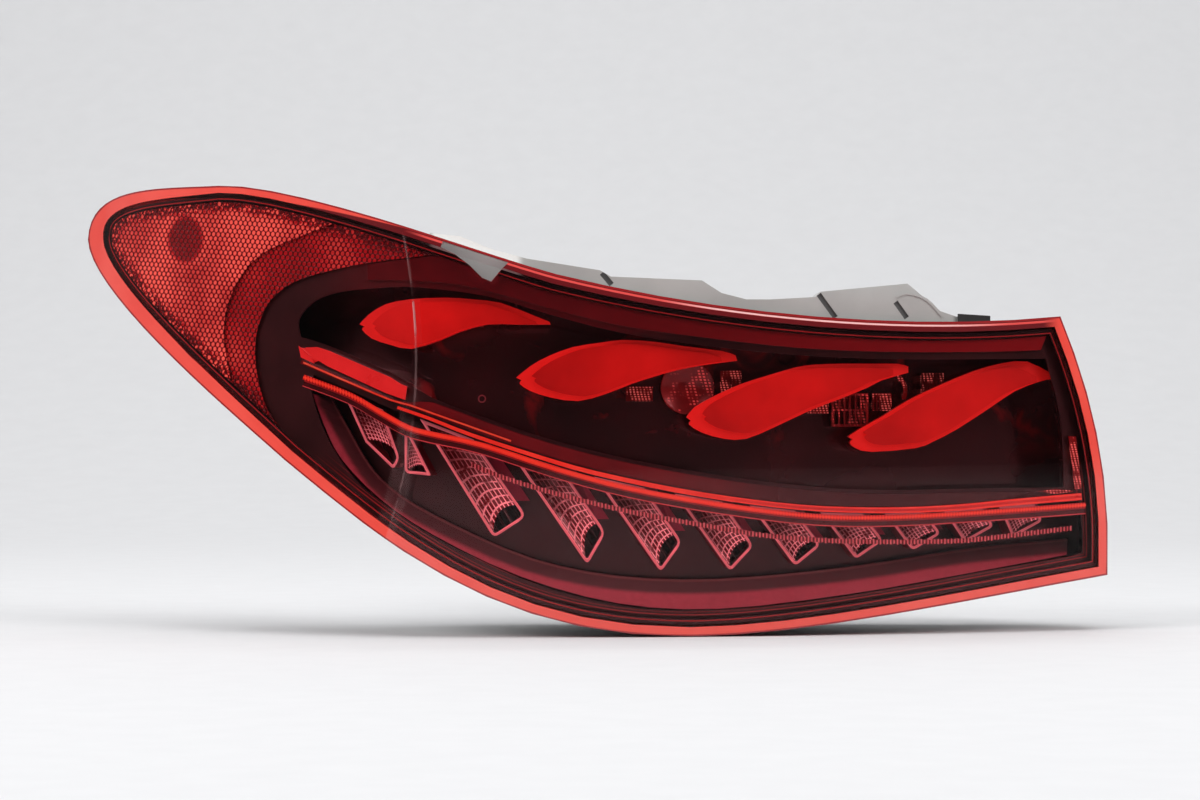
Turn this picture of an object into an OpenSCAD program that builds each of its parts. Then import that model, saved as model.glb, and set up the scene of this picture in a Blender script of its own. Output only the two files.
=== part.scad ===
// Rear lamp cluster for the left rear corner of a family car, with a lens that wraps
// round on to the side of the body. X runs across the car, Z is up and the lens faces -Y.
// Y = 0 is the plane that the mounting bosses bear on, and the origin lies midway
// between the two main studs.
// Outlines are drawn in the X-Z view from the front. A depth is always measured square
// to the outer face of the lens, which is where a ball and a tilted barrel meet.

/* [Overall] */
// Width of the lens from its wing tip to its low outer corner
lamp_w = 594; // [580:1:604]
// Height of the lens from its crown to its belly
lamp_h = 254; // [248:1:260]
// How far the front of the lens stands ahead of the mounting plane
lens_front = 132; // [126:1:140]

/* [Lens surface] */
// Radius of the ball that shapes the rear face
rear_r = 900; // [860:5:960]
// Foremost point of the rear face across the car
rear_peak_x = -60; // [-75:1:-45]
// Foremost point of the rear face in height
rear_peak_z = -30; // [-45:1:-15]
// Radius of the barrel that shapes the side face
side_r = 450; // [440:1:470]
// Place of the barrel's axis across the car
side_x = 52; // [46:1:58]
// How far the barrel would stand ahead of the rear face
side_lead = 25; // [22:0.5:28]
// Lean of the barrel's axis in degrees
side_lean = 10; // [8:0.5:12]

/* [Lens moulding] */
// Thickness of the clear lens
lens_wall = 3; // [2.4:0.1:3.2]
// Wall of the skirt that runs back from the rim
skirt_wall = 3; // [2.4:0.1:3.2]
// Depth of the skirt's foot
skirt_depth = 16; // [14:0.5:17]
// Width of the rim at the wing tip
rim_tip_w = 11; // [9:0.5:12]
// Width of the rim along the crown
rim_crown_w = 4; // [3.5:0.5:5]
// Width of the rim along the top and the outer side
rim_w = 5.5; // [4.5:0.5:6]
// Width of the black border that shows inside the rim
border_w = 4.2; // [3:0.2:5]

/* [Housing] */
// Wall of the housing
tub_wall = 2.5; // [2:0.1:2.8]
// Thickness of the flange that the skirt is welded to
flange_t = 3; // [2:0.5:4]
// Depth of the seat that the inner bezel stands on
seat_depth = 21; // [20.5:0.1:22]
// Width of the seat, measured inwards from the housing wall
seat_w = 3.5; // [2.5:0.5:4]
// Where the deep body of the housing ends beside the shallow wing
body_end_x = -205; // [-212:1:-198]
// Draft of the wall between the body and the wing, across the car
body_draft = 30; // [20:1:36]
// Gap from the mounting plane to the back wall
back_gap = 8; // [6:0.5:10]
// Gap from the mounting plane to the back wall at the outer end
step_gap = 16; // [13:0.5:17]
// Where the back wall steps forward
step_x = 74; // [66:1:78]
// Length of the slope at that step
step_run = 16; // [10:1:20]
// Depth at which the tray on top of the housing begins
tray_depth = 22; // [20:0.5:26]
// Gap from the mounting plane to the back of the tray
tray_gap = 34; // [30:1:40]

/* [Mounts] */
// Distance between the two main studs
stud_pitch = 120; // [110:1:130]
// Diameter of the studs
stud_dia = 6; // [5:0.5:8]
// Length of stud behind the mounting plane
stud_len = 22; // [18:1:28]
// Diameter of the bosses that hold the studs
boss_dia = 20; // [18:0.5:22]
// Place of the side stud across the car
side_stud_x = -172; // [-176:1:-168]
// Height of the side stud
side_stud_z = 58; // [54:1:62]
// Distance of the locating pin from the outer end of the lens
pin_from_end = 41; // [37:1:45]
// Height of the locating pin
pin_z = 12; // [8:1:16]
// Diameter of the locating pin
pin_dia = 8; // [6:0.5:10]
// Length of the locating pin behind its boss
pin_len = 16; // [12:1:20]

/* [Inner parts] */
// Gap left between mouldings that are set against each other
fit = 0.2; // [0.15:0.05:0.3]
// Depth of the bezel's face
plate_depth = 8; // [7.5:0.1:8.5]
// Thickness of the bezel's face
plate_t = 2.2; // [1.8:0.1:2.4]
// Wall of the bezel, the chamber and the reflector bank
inner_wall = 1.5; // [1.2:0.1:1.6]
// Depth of the front of the trims and light guides that stand on the bezel
trim_depth = 5.5; // [5:0.1:6]
// Depth of the chamber's floor
chamber_depth = 38; // [36:0.5:39]
// Depth of the front of the light blades
blade_depth = 14; // [12.5:0.5:16]
// Thickness of a light blade
blade_t = 14; // [11:0.5:16]
// Thickness of the web behind a light blade
blade_web = 4; // [3:0.5:5]
// Thickness of the upper light guide at its left end
guide_w = 1.6; // [1.4:0.1:1.8]
// Thickness of the upper light guide at its right end
guide_end_w = 4; // [3:0.5:4.5]
// Height of the bright light strip
strip_w = 2.8; // [2.4:0.1:3]
// Height of the toothed marker rod
rod_w = 3.2; // [2.6:0.1:3.6]
// Distance between the teeth of the marker rod
tooth_pitch = 3.4; // [3:0.1:5]
// Depth of the front of the reflector cups
cup_depth = 20; // [18:0.5:21]
// Depth of the floor inside the cups
cup_floor = 32; // [30:0.5:32.5]
// Width of the rim round a cup
cup_rim = 1.6; // [1.2:0.1:1.9]
// Number of reflector cups between the crease and the outer end
cup_count = 9; // [7:1:9]
// Distance between the ribs inside a cup
cup_rib_pitch = 4.6; // [3.6:0.1:6]
// Thickness of a printed circuit board
board_t = 1.6; // [1:0.2:2]

/* [Hidden] */

ball_steps = 320;
reach = 220;
drawn_w = 594;
drawn_h = 254;

// Curves

function unit(v) = v / norm(v);

// Point at share t of a cubic curve
function cubic(c, t) =
    let (s = 1 - t) s*s*s*c[0] + 3*s*s*t*c[1] + 3*s*t*t*c[2] + t*t*t*c[3];

// Smooth curve through the points p, without its last point
function through(p, n = 4) = [
    for (i = [0:len(p) - 2], k = [0:n - 1])
        let (a = p[max(i - 1, 0)], b = p[i], c = p[i + 1], d = p[min(i + 2, len(p) - 1)], t = k/n)
            0.5 * (2*b + (c - a)*t + (2*a - 5*b + 4*c - d)*t*t + (3*b - a - 3*c + d)*t*t*t)
];
function whole(p, n = 4) = concat(through(p, n), [p[len(p) - 1]]);

// Points drawn on the standard lamp, carried over to this lamp's width and height
function drawn(p) = [for (q = p) [q.x * lamp_w / drawn_w, q.y * lamp_h / drawn_h]];

// Clockwise loop moved inwards by w, which may be one number or one for each point
function inward(a, b) = let (t = unit(b - a)) [t.y, -t.x];
function inset(p, w) = let (n = len(p)) [
    for (i = [0:n - 1])
        let (u = inward(p[(i + n - 1) % n], p[i]), v = inward(p[i], p[(i + 1) % n]))
            p[i] + (is_num(w) ? w : w[i]) * (u + v) / (1 + u*v)
];

// Loop with its corners rounded, one radius for each point
function rounded(p, r, n = 4) = let (m = len(p)) [
    for (i = [0:m - 1])
        let (a = p[i] + r[i]*unit(p[(i + m - 1) % m] - p[i]),
            b = p[i] + r[i]*unit(p[(i + 1) % m] - p[i]))
            each r[i] == 0 ? [p[i]] : [for (k = [0:n])
                let (t = k/n, s = 1 - t) s*s*a + 2*s*t*p[i] + t*t*b]
];

// Strip of the given width along an open path, which may change evenly to a second width
function across(p, i) =
    let (t = unit(p[min(i + 1, len(p) - 1)] - p[max(i - 1, 0)])) [-t.y, t.x];
function strip(p, w0, w1) = let (n = len(p) - 1) concat(
    [for (i = [0:n]) p[i] + across(p, i) * (w0 + (w1 - w0)*i/n)/2],
    [for (i = [n:-1:0]) p[i] - across(p, i) * (w0 + (w1 - w0)*i/n)/2]
);
function lowered(p, dz) = [for (q = p) q - [0, dz]];

// Height of a left-to-right path above the place x
function height_of(p, x) = lookup(x, [for (q = p) [q.x, q.y]]);

// Outline of the lens: seven stations, each with the two handles of the curve that follows
stations = drawn([
    [-305, 102], [-305, 135], [-258, 129],
    [-218, 129], [-175, 129], [-69, 88],
    [-24, 76], [70, 53], [171, 45],
    [261, 54], [278, 13], [291, -32],
    [289, -93], [202, -106], [115, -124],
    [50, -124], [-51, -124], [-105, -82],
    [-176, -27], [-216, 6], [-303, 74]
]);
curve_steps = [16, 10, 10, 6, 8, 9, 16];

// Outline moved inwards by a width at each of the seven stations
function outline(w) =
    let (c = inset(stations, [for (i = [0:20])
        let (k = floor(i/3), f = (i % 3)/3) w[k]*(1 - f) + w[(k + 1) % 7]*f]))
    [for (k = [0:6], j = [0:curve_steps[k] - 1])
        cubic([for (m = [0:3]) c[(3*k + m) % 21]], j/curve_steps[k])];
function even(w) = outline([for (k = [0:6]) w]);

rim_widths = [rim_tip_w, rim_crown_w, rim_w, rim_w, rim_w, rim_w - 0.5, rim_w + 1];
border_widths = [for (w = rim_widths) w + border_w];
tub_inset = skirt_wall + 2*fit;
cavity_inset = tub_inset + tub_wall;
bezel_inset = cavity_inset + 2*fit;

// Y of the outer face of the lens at x, z, or of a face that lies deeper by d
function face_y(x, z, d = 0) =
    let (w = (x - side_x)*cos(side_lean) - z*sin(side_lean))
    max(rear_r - lens_front - sqrt(pow(rear_r - d, 2) - pow(x - rear_peak_x, 2)
            - pow(z - rear_peak_z, 2)),
        side_r - lens_front - side_lead - sqrt(pow(side_r - d, 2) - w*w));

function on_face(p, d) = [p.x, face_y(p.x, p.y, d), p.y];

// Drawn lines of the lens

chamber_top = drawn([
    [-168, 42], [-169, 52], [-160, 62], [-145, 67], [-122, 69], [-100, 69], [-62, 64],
    [-28, 54], [11, 44], [56, 37], [112, 31.5], [169, 29.5], [253, 30]
]);
chamber_side = drawn([[253, 30], [259, 8], [262.5, -14], [263.5, -43]]);
chamber_low = drawn([
    [263.5, -43], [202, -43.5], [167, -44], [134, -43], [98, -39.5], [62, -34.5],
    [18, -26.5], [-23, -16.5], [-60, -4.5], [-92, 7.5], [-116, 22], [-152, 37], [-168, 42]
]);
chamber_opening = concat(through(chamber_top, 3), through(chamber_side, 2), through(chamber_low, 3));

guide_line = whole(drawn([
    [-112, 2.5], [-94, -3.6], [-71, -12.6], [-33, -25], [-3, -33.6], [42, -43.2],
    [85, -50], [124, -54], [168, -55], [203, -53.7], [232, -51.3], [274, -48.3]
]), 3);
strip_line = whole(drawn([
    [-166, 19.5], [-139, 9.5], [-121, -0.5], [-106, -8.5], [-92, -12.3], [-65, -18.2],
    [-23, -31.8], [17, -42.4], [66, -51.3], [119, -58], [166, -58.9], [231, -55.8],
    [276.5, -53.1]
]), 3);
rod_line = whole(drawn([
    [-71, -29], [-54, -36], [-23, -45.5], [18, -55.5], [66, -64.4], [92, -68.8],
    [129, -72], [171, -73], [206, -72.6], [239, -69.5], [270, -66.3]
]), 4);

bank_top = drawn([[-160, 20.5], [-140, 12.5], [-122, 4.6], [-109, -1.4]]);
bank_low = drawn([
    [274, -62], [275, -77], [268, -82.5], [221, -89.5], [165, -99], [110, -106.5],
    [66, -110], [22, -109], [-26, -98.5], [-62, -84], [-98, -65.5], [-130, -43],
    [-145, -26], [-155, -8], [-162, 13], [-160, 20.5]
]);
bank_opening = concat(
    through(bank_top, 2), lowered([for (q = guide_line) if (q.x > bank_top[3].x + 4) q], 1.4),
    through(bank_low, 2)
);

ledge_top = whole(drawn([
    [-151, 8], [-140, -11], [-127, -32], [-110, -47], [-82, -62.5], [-38, -81.5],
    [10, -91.5], [66, -93.5], [139, -87.5], [204, -78.5], [268, -73]
]), 3);
ledge_foot = whole(drawn([
    [-161, 10], [-152.4, -11.5], [-143, -27.5], [-122, -48], [-92, -68], [-44, -91],
    [10, -106], [66, -109.5], [139, -102], [204, -91.8], [266, -81.5]
]), 3);

blade_tops = [
    [[-134.5, 49], [-129, 54.5], [-119.5, 60], [-106.5, 62.5], [-86, 63.5], [-70.5, 62.5],
        [-55, 60.5], [-35.5, 53], [-28, 50]],
    [[-46.5, 19], [-38.5, 25.5], [-28.5, 31], [-15, 36], [0.5, 38.5], [13, 40], [30, 39],
        [47, 36.5], [67.5, 34], [75.5, 31.5]],
    [[48, -3], [52.5, 2.5], [63, 8.5], [78.5, 15.5], [96, 21], [110, 25], [121, 26.5],
        [137, 27], [153, 27], [167.5, 27], [173.5, 25.5]],
    [[139, -14], [145, -10], [159.5, -2], [173.5, 6.5], [190.5, 14.5], [211.5, 23],
        [228.5, 27.5], [243, 28.5], [256, 22.5]]
];
blade_lows = [
    [[-27.5, 48.5], [-46.5, 48.5], [-62.5, 48.5], [-78.5, 44], [-89, 39.5], [-105, 35],
        [-117.5, 37.5], [-127.5, 41], [-133, 46], [-131.5, 47.5]],
    [[76.5, 28.5], [58, 26], [42.5, 23], [30, 19.5], [17.5, 15.5], [3.5, 10], [-12, 6],
        [-27.5, 8], [-38.5, 11.5], [-44.5, 15.5], [-43.5, 17.5]],
    [[173.5, 22], [158, 17.5], [150, 13.5], [134, 7], [118, 1], [97.5, -8.5], [81.5, -15],
        [69, -15], [56.5, -11.5], [49.5, -7], [50.5, -5]],
    [[257, 18.5], [250, 17], [235.5, 11.5], [221.5, 2.5], [201.5, -10], [187.5, -17],
        [177.5, -20.5], [152.5, -22.5], [143.5, -20.5], [140, -17.5], [141.5, -15.5]]
];
function blade_path(i) = concat(whole(drawn(blade_tops[i]), 2), whole(drawn(blade_lows[i]), 2));
// Point at share t of the line between the two tips of a blade
function on_blade(i, t) =
    let (p = drawn(blade_tops[i])) p[0]*(1 - t) + p[len(p) - 1]*t;

// Break in the upper edge of the lens, as worn
break_path = drawn([
    [-88, 91], [-85, 99], [-49, 89], [-50, 83], [-55, 78], [-60, 72], [-65, 74], [-72, 81], [-80, 87]
]);

// Solids

// Extrudes an X-Z drawing along Y
module upright(y0 = -reach, y1 = reach)
    translate([0, y1, 0]) rotate([90, 0, 0]) linear_extrude(y1 - y0) children();

// All that lies deeper than d behind the outer face of the lens
module behind(d)
    intersection() {
        translate([rear_peak_x, rear_r - lens_front, rear_peak_z])
            sphere(r = rear_r - d, $fn = ball_steps);
        translate([side_x, side_r - lens_front - side_lead, 0]) rotate([0, side_lean, 0])
            cylinder(r = side_r - d, h = 4*reach, center = true, $fn = ball_steps);
    }

// The part of a drawing that lies between two depths
module layer(front, back)
    difference() {
        intersection() {
            behind(front);
            upright() children();
        }
        behind(back);
    }

module ring(outer, inner)
    difference() {
        polygon(outer);
        polygon(inner);
    }

// Round bar along Y
module bar(p, d, y0, y1, steps = 32)
    translate([p.x, y1, p.y]) rotate([90, 0, 0]) cylinder(d = d, h = y1 - y0, $fn = steps);

// Everything ahead of the back wall's outer face, moved out by t
module back_block(t)
    linear_extrude(2*reach, center = true)
        polygon([
            [body_end_x - body_draft - t, -lens_front], [body_end_x - t, -back_gap + t],
            [step_x, -back_gap + t], [step_x + step_run, -step_gap + t],
            [1.5*reach, -step_gap + t], [1.5*reach, -1.5*lens_front],
            [body_end_x - body_draft - t, -1.5*lens_front]
        ]);
function back_y(x) = x < step_x ? -back_gap : -step_gap;

tray_path = drawn([
    [-96, 80], [-95, 100], [-78, 98], [-61, 91], [-41, 85.5], [0, 79], [6, 75.5], [57, 73.5],
    [68, 66.5], [82, 63], [95, 63], [121, 64.5], [124, 67.5], [174, 72.5], [193, 57],
    [202, 54], [222, 52.5], [222, 25], [-90, 55]
]);
// Slanting grooves and a raised bead on the face of the tray
tray_grooves = [
    for (p = [[[123, 66], [132.5, 53]], [[167, 62], [173.5, 53]], [[1, 77.5], [6.5, 71]]]) drawn(p)
];
groove_w = 3;
bead_w = 1.4;
tray_bead = whole(drawn([[167.5, 65], [173, 67], [182, 65], [188, 61], [194, 54]]), 2);
groove_depth = 1.2;

// Space inside a width, deeper than front and ahead of the back wall
module space(w, front, block)
    intersection() {
        behind(front);
        upright() polygon(even(w));
        back_block(block);
    }

main_studs_at = [[-stud_pitch/2, 0], [stud_pitch/2, 0]];
side_stud_at = [side_stud_x, side_stud_z];
pin_at = [stations[12].x - pin_from_end, pin_z];
pin_boss_end = -6;
stud_hold = back_gap;
// The pressed-in roots: wider on a stud, narrower on the pin
stud_root = 2;
pin_step = 1;

module housing() color("silver")
    difference() {
        union() {
            difference() {
                intersection() {
                    behind(skirt_depth + fit);
                    upright() polygon(even(2*fit));
                }
                difference() {
                    behind(skirt_depth + fit + flange_t);
                    upright() polygon(even(tub_inset));
                }
                difference() {
                    behind(seat_depth + tub_wall);
                    back_block(0);
                }
            }
            tray(0);
            layer(tray_depth - groove_depth/2, tray_depth + 1)
                polygon(strip(tray_bead, bead_w, bead_w));
            for (p = concat(main_studs_at, [side_stud_at])) stud_boss(p);
            bar(pin_at, pin_dia + 6, -step_gap - tub_wall/2, pin_boss_end);
        }
        layer(plate_depth, seat_depth) polygon(even(cavity_inset));
        space(cavity_inset, seat_depth + tub_wall, -tub_wall);
        intersection() {
            layer(seat_depth - 1, seat_depth + tub_wall + 1) difference() {
                polygon(even(cavity_inset + seat_w));
                polygon(inset(break_path, -2));
            }
            back_block(-tub_wall);
        }
        tray(tub_wall);
        layer(tray_depth - 1, tray_depth + groove_depth)
            for (p = tray_grooves) polygon(strip(p, groove_w, groove_w));
        for (p = concat(main_studs_at, [side_stud_at])) bar(p, stud_dia + stud_root, -stud_hold, 1, 48);
        bar(pin_at, pin_dia - pin_step, -step_gap, 1, 48);
        for (p = post_places) bar(p, screw_dia, -reach/4, 1);
    }

// Boss on the back wall, with ribs that stay ahead of the mounting plane
module stud_boss(p) {
    bar(p, boss_dia, -back_gap - tub_wall/2, 0);
    for (a = [0:60:300])
        translate([p.x, 0, p.y]) rotate([0, a, 0])
            translate([boss_dia/2 - 1, -back_gap - tub_wall/2, -1])
                cube([boss_dia/2 + 1, tub_wall/2 + back_gap/2, 2]);
}

// Raised tray on top of the housing, open to the body below it
module tray(t)
    intersection() {
        behind(tray_depth + t);
        upright(y1 = -tray_gap - t) polygon(inset(tray_path, t));
    }

tray_pad_path = drawn([[203, 51], [222, 50.5], [222, 54.5], [203, 55.5]]);
module tray_pad() color("dimgray")
    layer(tray_depth - 2.4, tray_depth - fit) polygon(tray_pad_path);

module outer_lens() color("darkred", 0.6)
    layer(0, lens_wall) difference() {
        polygon(outline(rim_widths));
        polygon(break_path);
    }

module lens_rim() color("tomato")
    difference() {
        union() {
            layer(0, lens_wall) ring(even(0), outline(rim_widths));
            layer(0, skirt_depth) ring(even(0), even(skirt_wall));
        }
        upright() intersection() {
            polygon(even(skirt_wall/2));
            polygon(break_path);
        }
    }

module border_frame() color("black")
    layer(lens_wall + fit, plate_depth - fit) difference() {
        ring(even(bezel_inset), outline(border_widths));
        polygon(break_path);
    }

module bezel() color([0.1, 0.05, 0.05])
    difference() {
        union() {
            layer(plate_depth, plate_depth + plate_t) difference() {
                polygon(even(bezel_inset));
                polygon(chamber_opening);
                polygon(bank_opening);
            }
            layer(plate_depth, seat_depth - fit)
                ring(even(bezel_inset), even(bezel_inset + inner_wall));
        }
        upright() polygon(break_path);
    }

reflex_edge = whole(drawn([
    [-84, 88], [-101, 86], [-128, 83], [-151, 79], [-172, 73], [-186, 63], [-193, 49],
    [-195, 35], [-193, 18], [-187, 1], [-175, -14], [-162, -26]
]), 3);
reflex_step = whole(drawn([
    [-150, 105], [-176, 96], [-190, 90], [-200, 82], [-207, 72], [-212, 60], [-214, 48],
    [-213, 35], [-206, 6], [-196, -12]
]), 3);
function left_of(p) = concat(p, drawn([[-200, -120], [-340, -120], [-340, 160], [p[0].x, 160]]));

module reflex_panel() color("red") {
    layer(plate_depth - 2, plate_depth - fit) intersection() {
        polygon(outline([for (w = border_widths) w + 0.8]));
        polygon(left_of(reflex_edge));
    }
    layer(lens_wall + 1, plate_depth - 1) intersection() {
        polygon(outline([for (w = border_widths) w + 0.8]));
        polygon(left_of(reflex_step));
    }
}

upper_trim_low = whole(drawn([
    [-129, 73.5], [-100, 72.5], [-82, 71], [-62, 67], [-28, 57.5], [11, 48], [56, 41.5],
    [112, 35.5], [168, 33.5], [226, 34], [250, 35]
]), 3);
module upper_trim() color("maroon")
    layer(trim_depth, plate_depth - fit) difference() {
        intersection() {
            polygon(outline([for (w = border_widths) w + 0.6]));
            polygon(concat(upper_trim_low, drawn([[256, 50], [256, 120], [-131, 120]])));
        }
        polygon(inset(left_of(reflex_edge), -0.8));
        polygon(break_path);
    }

trim_bar_path = drawn([
    [-165, 36], [-158, 36.2], [-151, 34], [-116, 19.2], [-110, 15.5], [-106.5, 14],
    [-107.5, 6.6], [-119, 10.6], [-152, 25.4], [-158, 29]
]);
trim_wedge_path = drawn([[-169, 37], [-161.5, 30.2], [-159.8, 26.9], [-167.6, 30.5]]);
trim_web_path = drawn([[-168, 36], [-160, 35], [-155, 29.5], [-160, 27.5], [-167, 31]]);
module trim_bar() color("dimgray") {
    layer(trim_depth - 0.7, plate_depth - fit) {
        polygon(trim_bar_path);
        polygon(trim_wedge_path);
    }
    layer(plate_depth - 1, plate_depth - fit) polygon(trim_web_path);
}

mid_trim_top = whole(drawn([
    [-167, 29.2], [-136, 16.4], [-116, 7.8], [-104, 5.2], [-92, 5.2], [-60, -6.6],
    [-23, -18.6], [18, -28.6], [62, -36.6], [98, -41.6], [134, -45], [167, -46], [202, -45.4],
    [244, -45.4]
]), 2);
mid_trim_low = concat(
    drawn([[-168, 27], [-160, 23.6], [-136, 13.4]]),
    lowered([for (q = guide_line) if (q.x < mid_trim_top[len(mid_trim_top) - 1].x) q], -2.3)
);
module mid_trim() color("firebrick")
    layer(trim_depth, plate_depth - fit)
        polygon(concat(mid_trim_top, [for (i = [len(mid_trim_low) - 1:-1:0]) mid_trim_low[i]]));

accent_line = whole(drawn([
    [-166, 27.6], [-150, 20.8], [-136, 15], [-116, 6.7], [-105, 3.8], [-92, -0.8], [-71, -8.2],
    [-49, -16]
]), 2);
module accent_strip() color("orangered")
    layer(trim_depth - 1.8, trim_depth - fit) polygon(strip(accent_line, 1, 1));

module light_guide() color("red")
    layer(trim_depth, plate_depth - fit) polygon(strip(guide_line, guide_w, guide_end_w));

strip_flange_w = 4;
module light_strip() color("red") {
    layer(trim_depth - 0.5, plate_depth - fit) polygon(strip(strip_line, strip_w, strip_w));
    layer(plate_depth - 1.4, plate_depth - fit)
        polygon(strip(lowered(strip_line, (strip_w + strip_flange_w)/2 - 0.1),
            strip_flange_w, strip_flange_w));
}

rod_depth = plate_depth + plate_t + 0.6;
rod_t = 3;
module marker_rod() color("palevioletred") {
    first = rod_line[0].x;
    n = 2*floor((rod_line[len(rod_line) - 1].x - first)/tooth_pitch);
    rows = [for (i = [0:n])
        let (x = first + i*tooth_pitch/2, z = height_of(rod_line, x),
            h = (i % 2 == 0 ? rod_w : rod_w - 1.2)/2, d = rod_depth + (i % 2 == 0 ? 0 : 0.6))
            [on_face([x, z + h], d), on_face([x, z + h], rod_depth + rod_t),
                on_face([x, z - h], rod_depth + rod_t), on_face([x, z - h], d)]];
    polyhedron(
        points = [for (r = rows) each r],
        faces = concat(
            [for (i = [0:n - 1], k = [0:3]) each let (a = 4*i + k, b = 4*i + (k + 1) % 4)
                [[a, a + 4, b + 4], [a, b + 4, b]]],
            [[0, 1, 2], [0, 2, 3], [4*n, 4*n + 2, 4*n + 1], [4*n, 4*n + 3, 4*n + 2]]
        )
    );
}

// Reflector cups: each is a slanting scoop with its tip just above the ledge

// The first cup ends blunter than the rest
first_tip_shift = [-9, 3];
first_corner_shift = [6, -5];
function cup_a(i) = let (x = (-100 + 51*i - 1.27*i*i) * lamp_w/drawn_w)
    [x, height_of(guide_line, x) - 2.4];
function cup_t(i) = let (x = (-50 + 44*i - 1.05*i*i) * lamp_w/drawn_w)
    [x, height_of(ledge_top, x) + 4] + (i == 0 ? first_tip_shift : [0, 0]);
function cup_d(i) = let (x = cup_a(i).x + (30 - 1.1*i) * lamp_w/drawn_w)
    [x, height_of(guide_line, x) - 2.4];
function cup_corner(i) =
    cup_d(i) + 0.57*(cup_t(i) - cup_a(i)) + (i == 0 ? first_corner_shift : [0, 0]);
function cup_corners(i) = [cup_a(i), cup_d(i), cup_corner(i), cup_t(i)];
function cup_radii(i) = [0, 0, 5 - 0.3*i, 3.6 - 0.15*i];
side_cups = [
    [drawn([[-144, 11], [-121, 1.2], [-111.4, -26], [-115, -32], [-131, -17]]), [0, 0, 3, 2, 0]],
    [drawn([[-108.6, -6], [-93.5, -35.5], [-108.6, -34]]), [0, 1.6, 3]]
];
function rod_post(i) = let (a = cup_a(i), t = cup_t(i), z = height_of(rod_line, (a.x + t.x)/2),
    x = a.x + (t.x - a.x)*(a.y - z)/(a.y - t.y) - 3.4) [x, height_of(rod_line, x)];

rod_post_dia = 2.6;
module rod_posts(d)
    for (i = [1, 4, 7]) translate(rod_post(i)) circle(d = d, $fn = 24);

cup_back = cup_floor + inner_wall;

// Black tray that the cups stand in, with the posts of the marker rod
module bank_tray() color([0.12, 0.06, 0.06]) {
    difference() {
        layer(plate_depth + plate_t + fit, cup_back) polygon(inset(bank_opening, -2*inner_wall));
        layer(plate_depth, cup_floor) polygon(inset(bank_opening, -inner_wall));
    }
    layer(rod_depth + rod_t + fit, cup_floor + 0.5) rod_posts(rod_post_dia);
}

// Middle of a loop, and the turn that sets a cup square to the lens there
function middle(c) = [for (k = [0:1]) [for (q = c) q[k]] * [for (q = c) 1/len(c)]];
function cup_turn(m) =
    atan((face_y(m.x + 5, m.y, cup_depth) - face_y(m.x - 5, m.y, cup_depth))/10);
function turned(c, m, a) = [for (q = c) [(q.x - m.x)/cos(a), q.y - m.y]];

// A cup: a rim round a sunk floor with ribs along it, and a plain panel beside it
module cup(corners, radii, panel) {
    m = middle(corners);
    a = cup_turn(m);
    loop = turned(corners, m, a);
    deep = cup_floor - cup_depth;
    translate([m.x, face_y(m.x, m.y, cup_depth), m.y]) rotate([0, 0, a]) {
        difference() {
            upright(0, 2*deep) polygon(rounded(loop, radii));
            upright(-1, deep - 3) polygon(rounded(inset(loop, cup_rim), radii/2));
        }
        upright(4, deep) intersection() {
            polygon(rounded(inset(loop, cup_rim/2), radii/2));
            ribs(loop);
        }
        if (len(panel) > 0) upright(6, 2*deep) polygon(turned(panel, m, a));
    }
}
module ribs(c) {
    t = unit(c[len(c) - 1] - c[0]);
    turn = atan2(t.y, t.x);
    translate(c[0]) rotate(turn)
        for (k = [1:8]) translate([-20, (k - 0.3)*cup_rib_pitch]) square([150, 1]);
}
function side_panel(i) = let (a = cup_d(i), b = a + 0.8*(cup_corner(i) - a), w = [7.5 - 0.4*i, 0])
    [a - [cup_rim/2, 0], a + w, b + w, b - [cup_rim/2, 0]];

// The cups stand on one thin sheet that lies on the floor of the tray
module reflector_cups() color("indianred")
    difference() {
        union() {
            layer(cup_floor - fit - 1, cup_floor + 4) polygon(inset(bank_opening, fit - inner_wall));
            for (c = side_cups) cup(c[0], c[1], []);
            for (i = [0:cup_count - 1]) cup(cup_corners(i), cup_radii(i), side_panel(i));
        }
        behind(cup_floor - fit);
        upright() rod_posts(rod_post_dia + 2*fit);
    }

// Sloping satin ledge below the cups, folded back to the floor of the bank
module ledge_trim() color("rosybrown") {
    n = len(ledge_top) - 1;
    front = plate_depth + plate_t + 0.6;
    top = cup_depth + 2;
    seat = cup_floor - 1 - 4*fit;
    rows = [for (i = [0:n])
        let (a = ledge_foot[i], b = ledge_top[i], c = b + 1.5*unit(a - b))
            [on_face(a, front), on_face(b, top), on_face(b, seat), on_face(c, seat),
                on_face(c, top + 2), on_face(a, front + 2)]];
    m = 6;
    polyhedron(
        points = [for (r = rows) each r],
        faces = concat(
            [for (i = [0:n - 1], k = [0:m - 1]) each let (a = i*m + k, b = i*m + (k + 1) % m)
                [[a, a + m, b + m], [a, b + m, b]]],
            [[0, 1, 4], [0, 4, 5], [1, 2, 3], [1, 3, 4]],
            [[n*m, n*m + 4, n*m + 1], [n*m, n*m + 5, n*m + 4], [n*m + 1, n*m + 3, n*m + 2],
                [n*m + 1, n*m + 4, n*m + 3]]
        )
    );
}

post_places = drawn([[-122, 52], [-40, 28], [58, -18], [240, -24]]);
screw_dia = 4;
// Places of the diodes along each blade, and their size
led_shares = [0.3, 0.45, 0.6];
led_size = 3;

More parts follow.
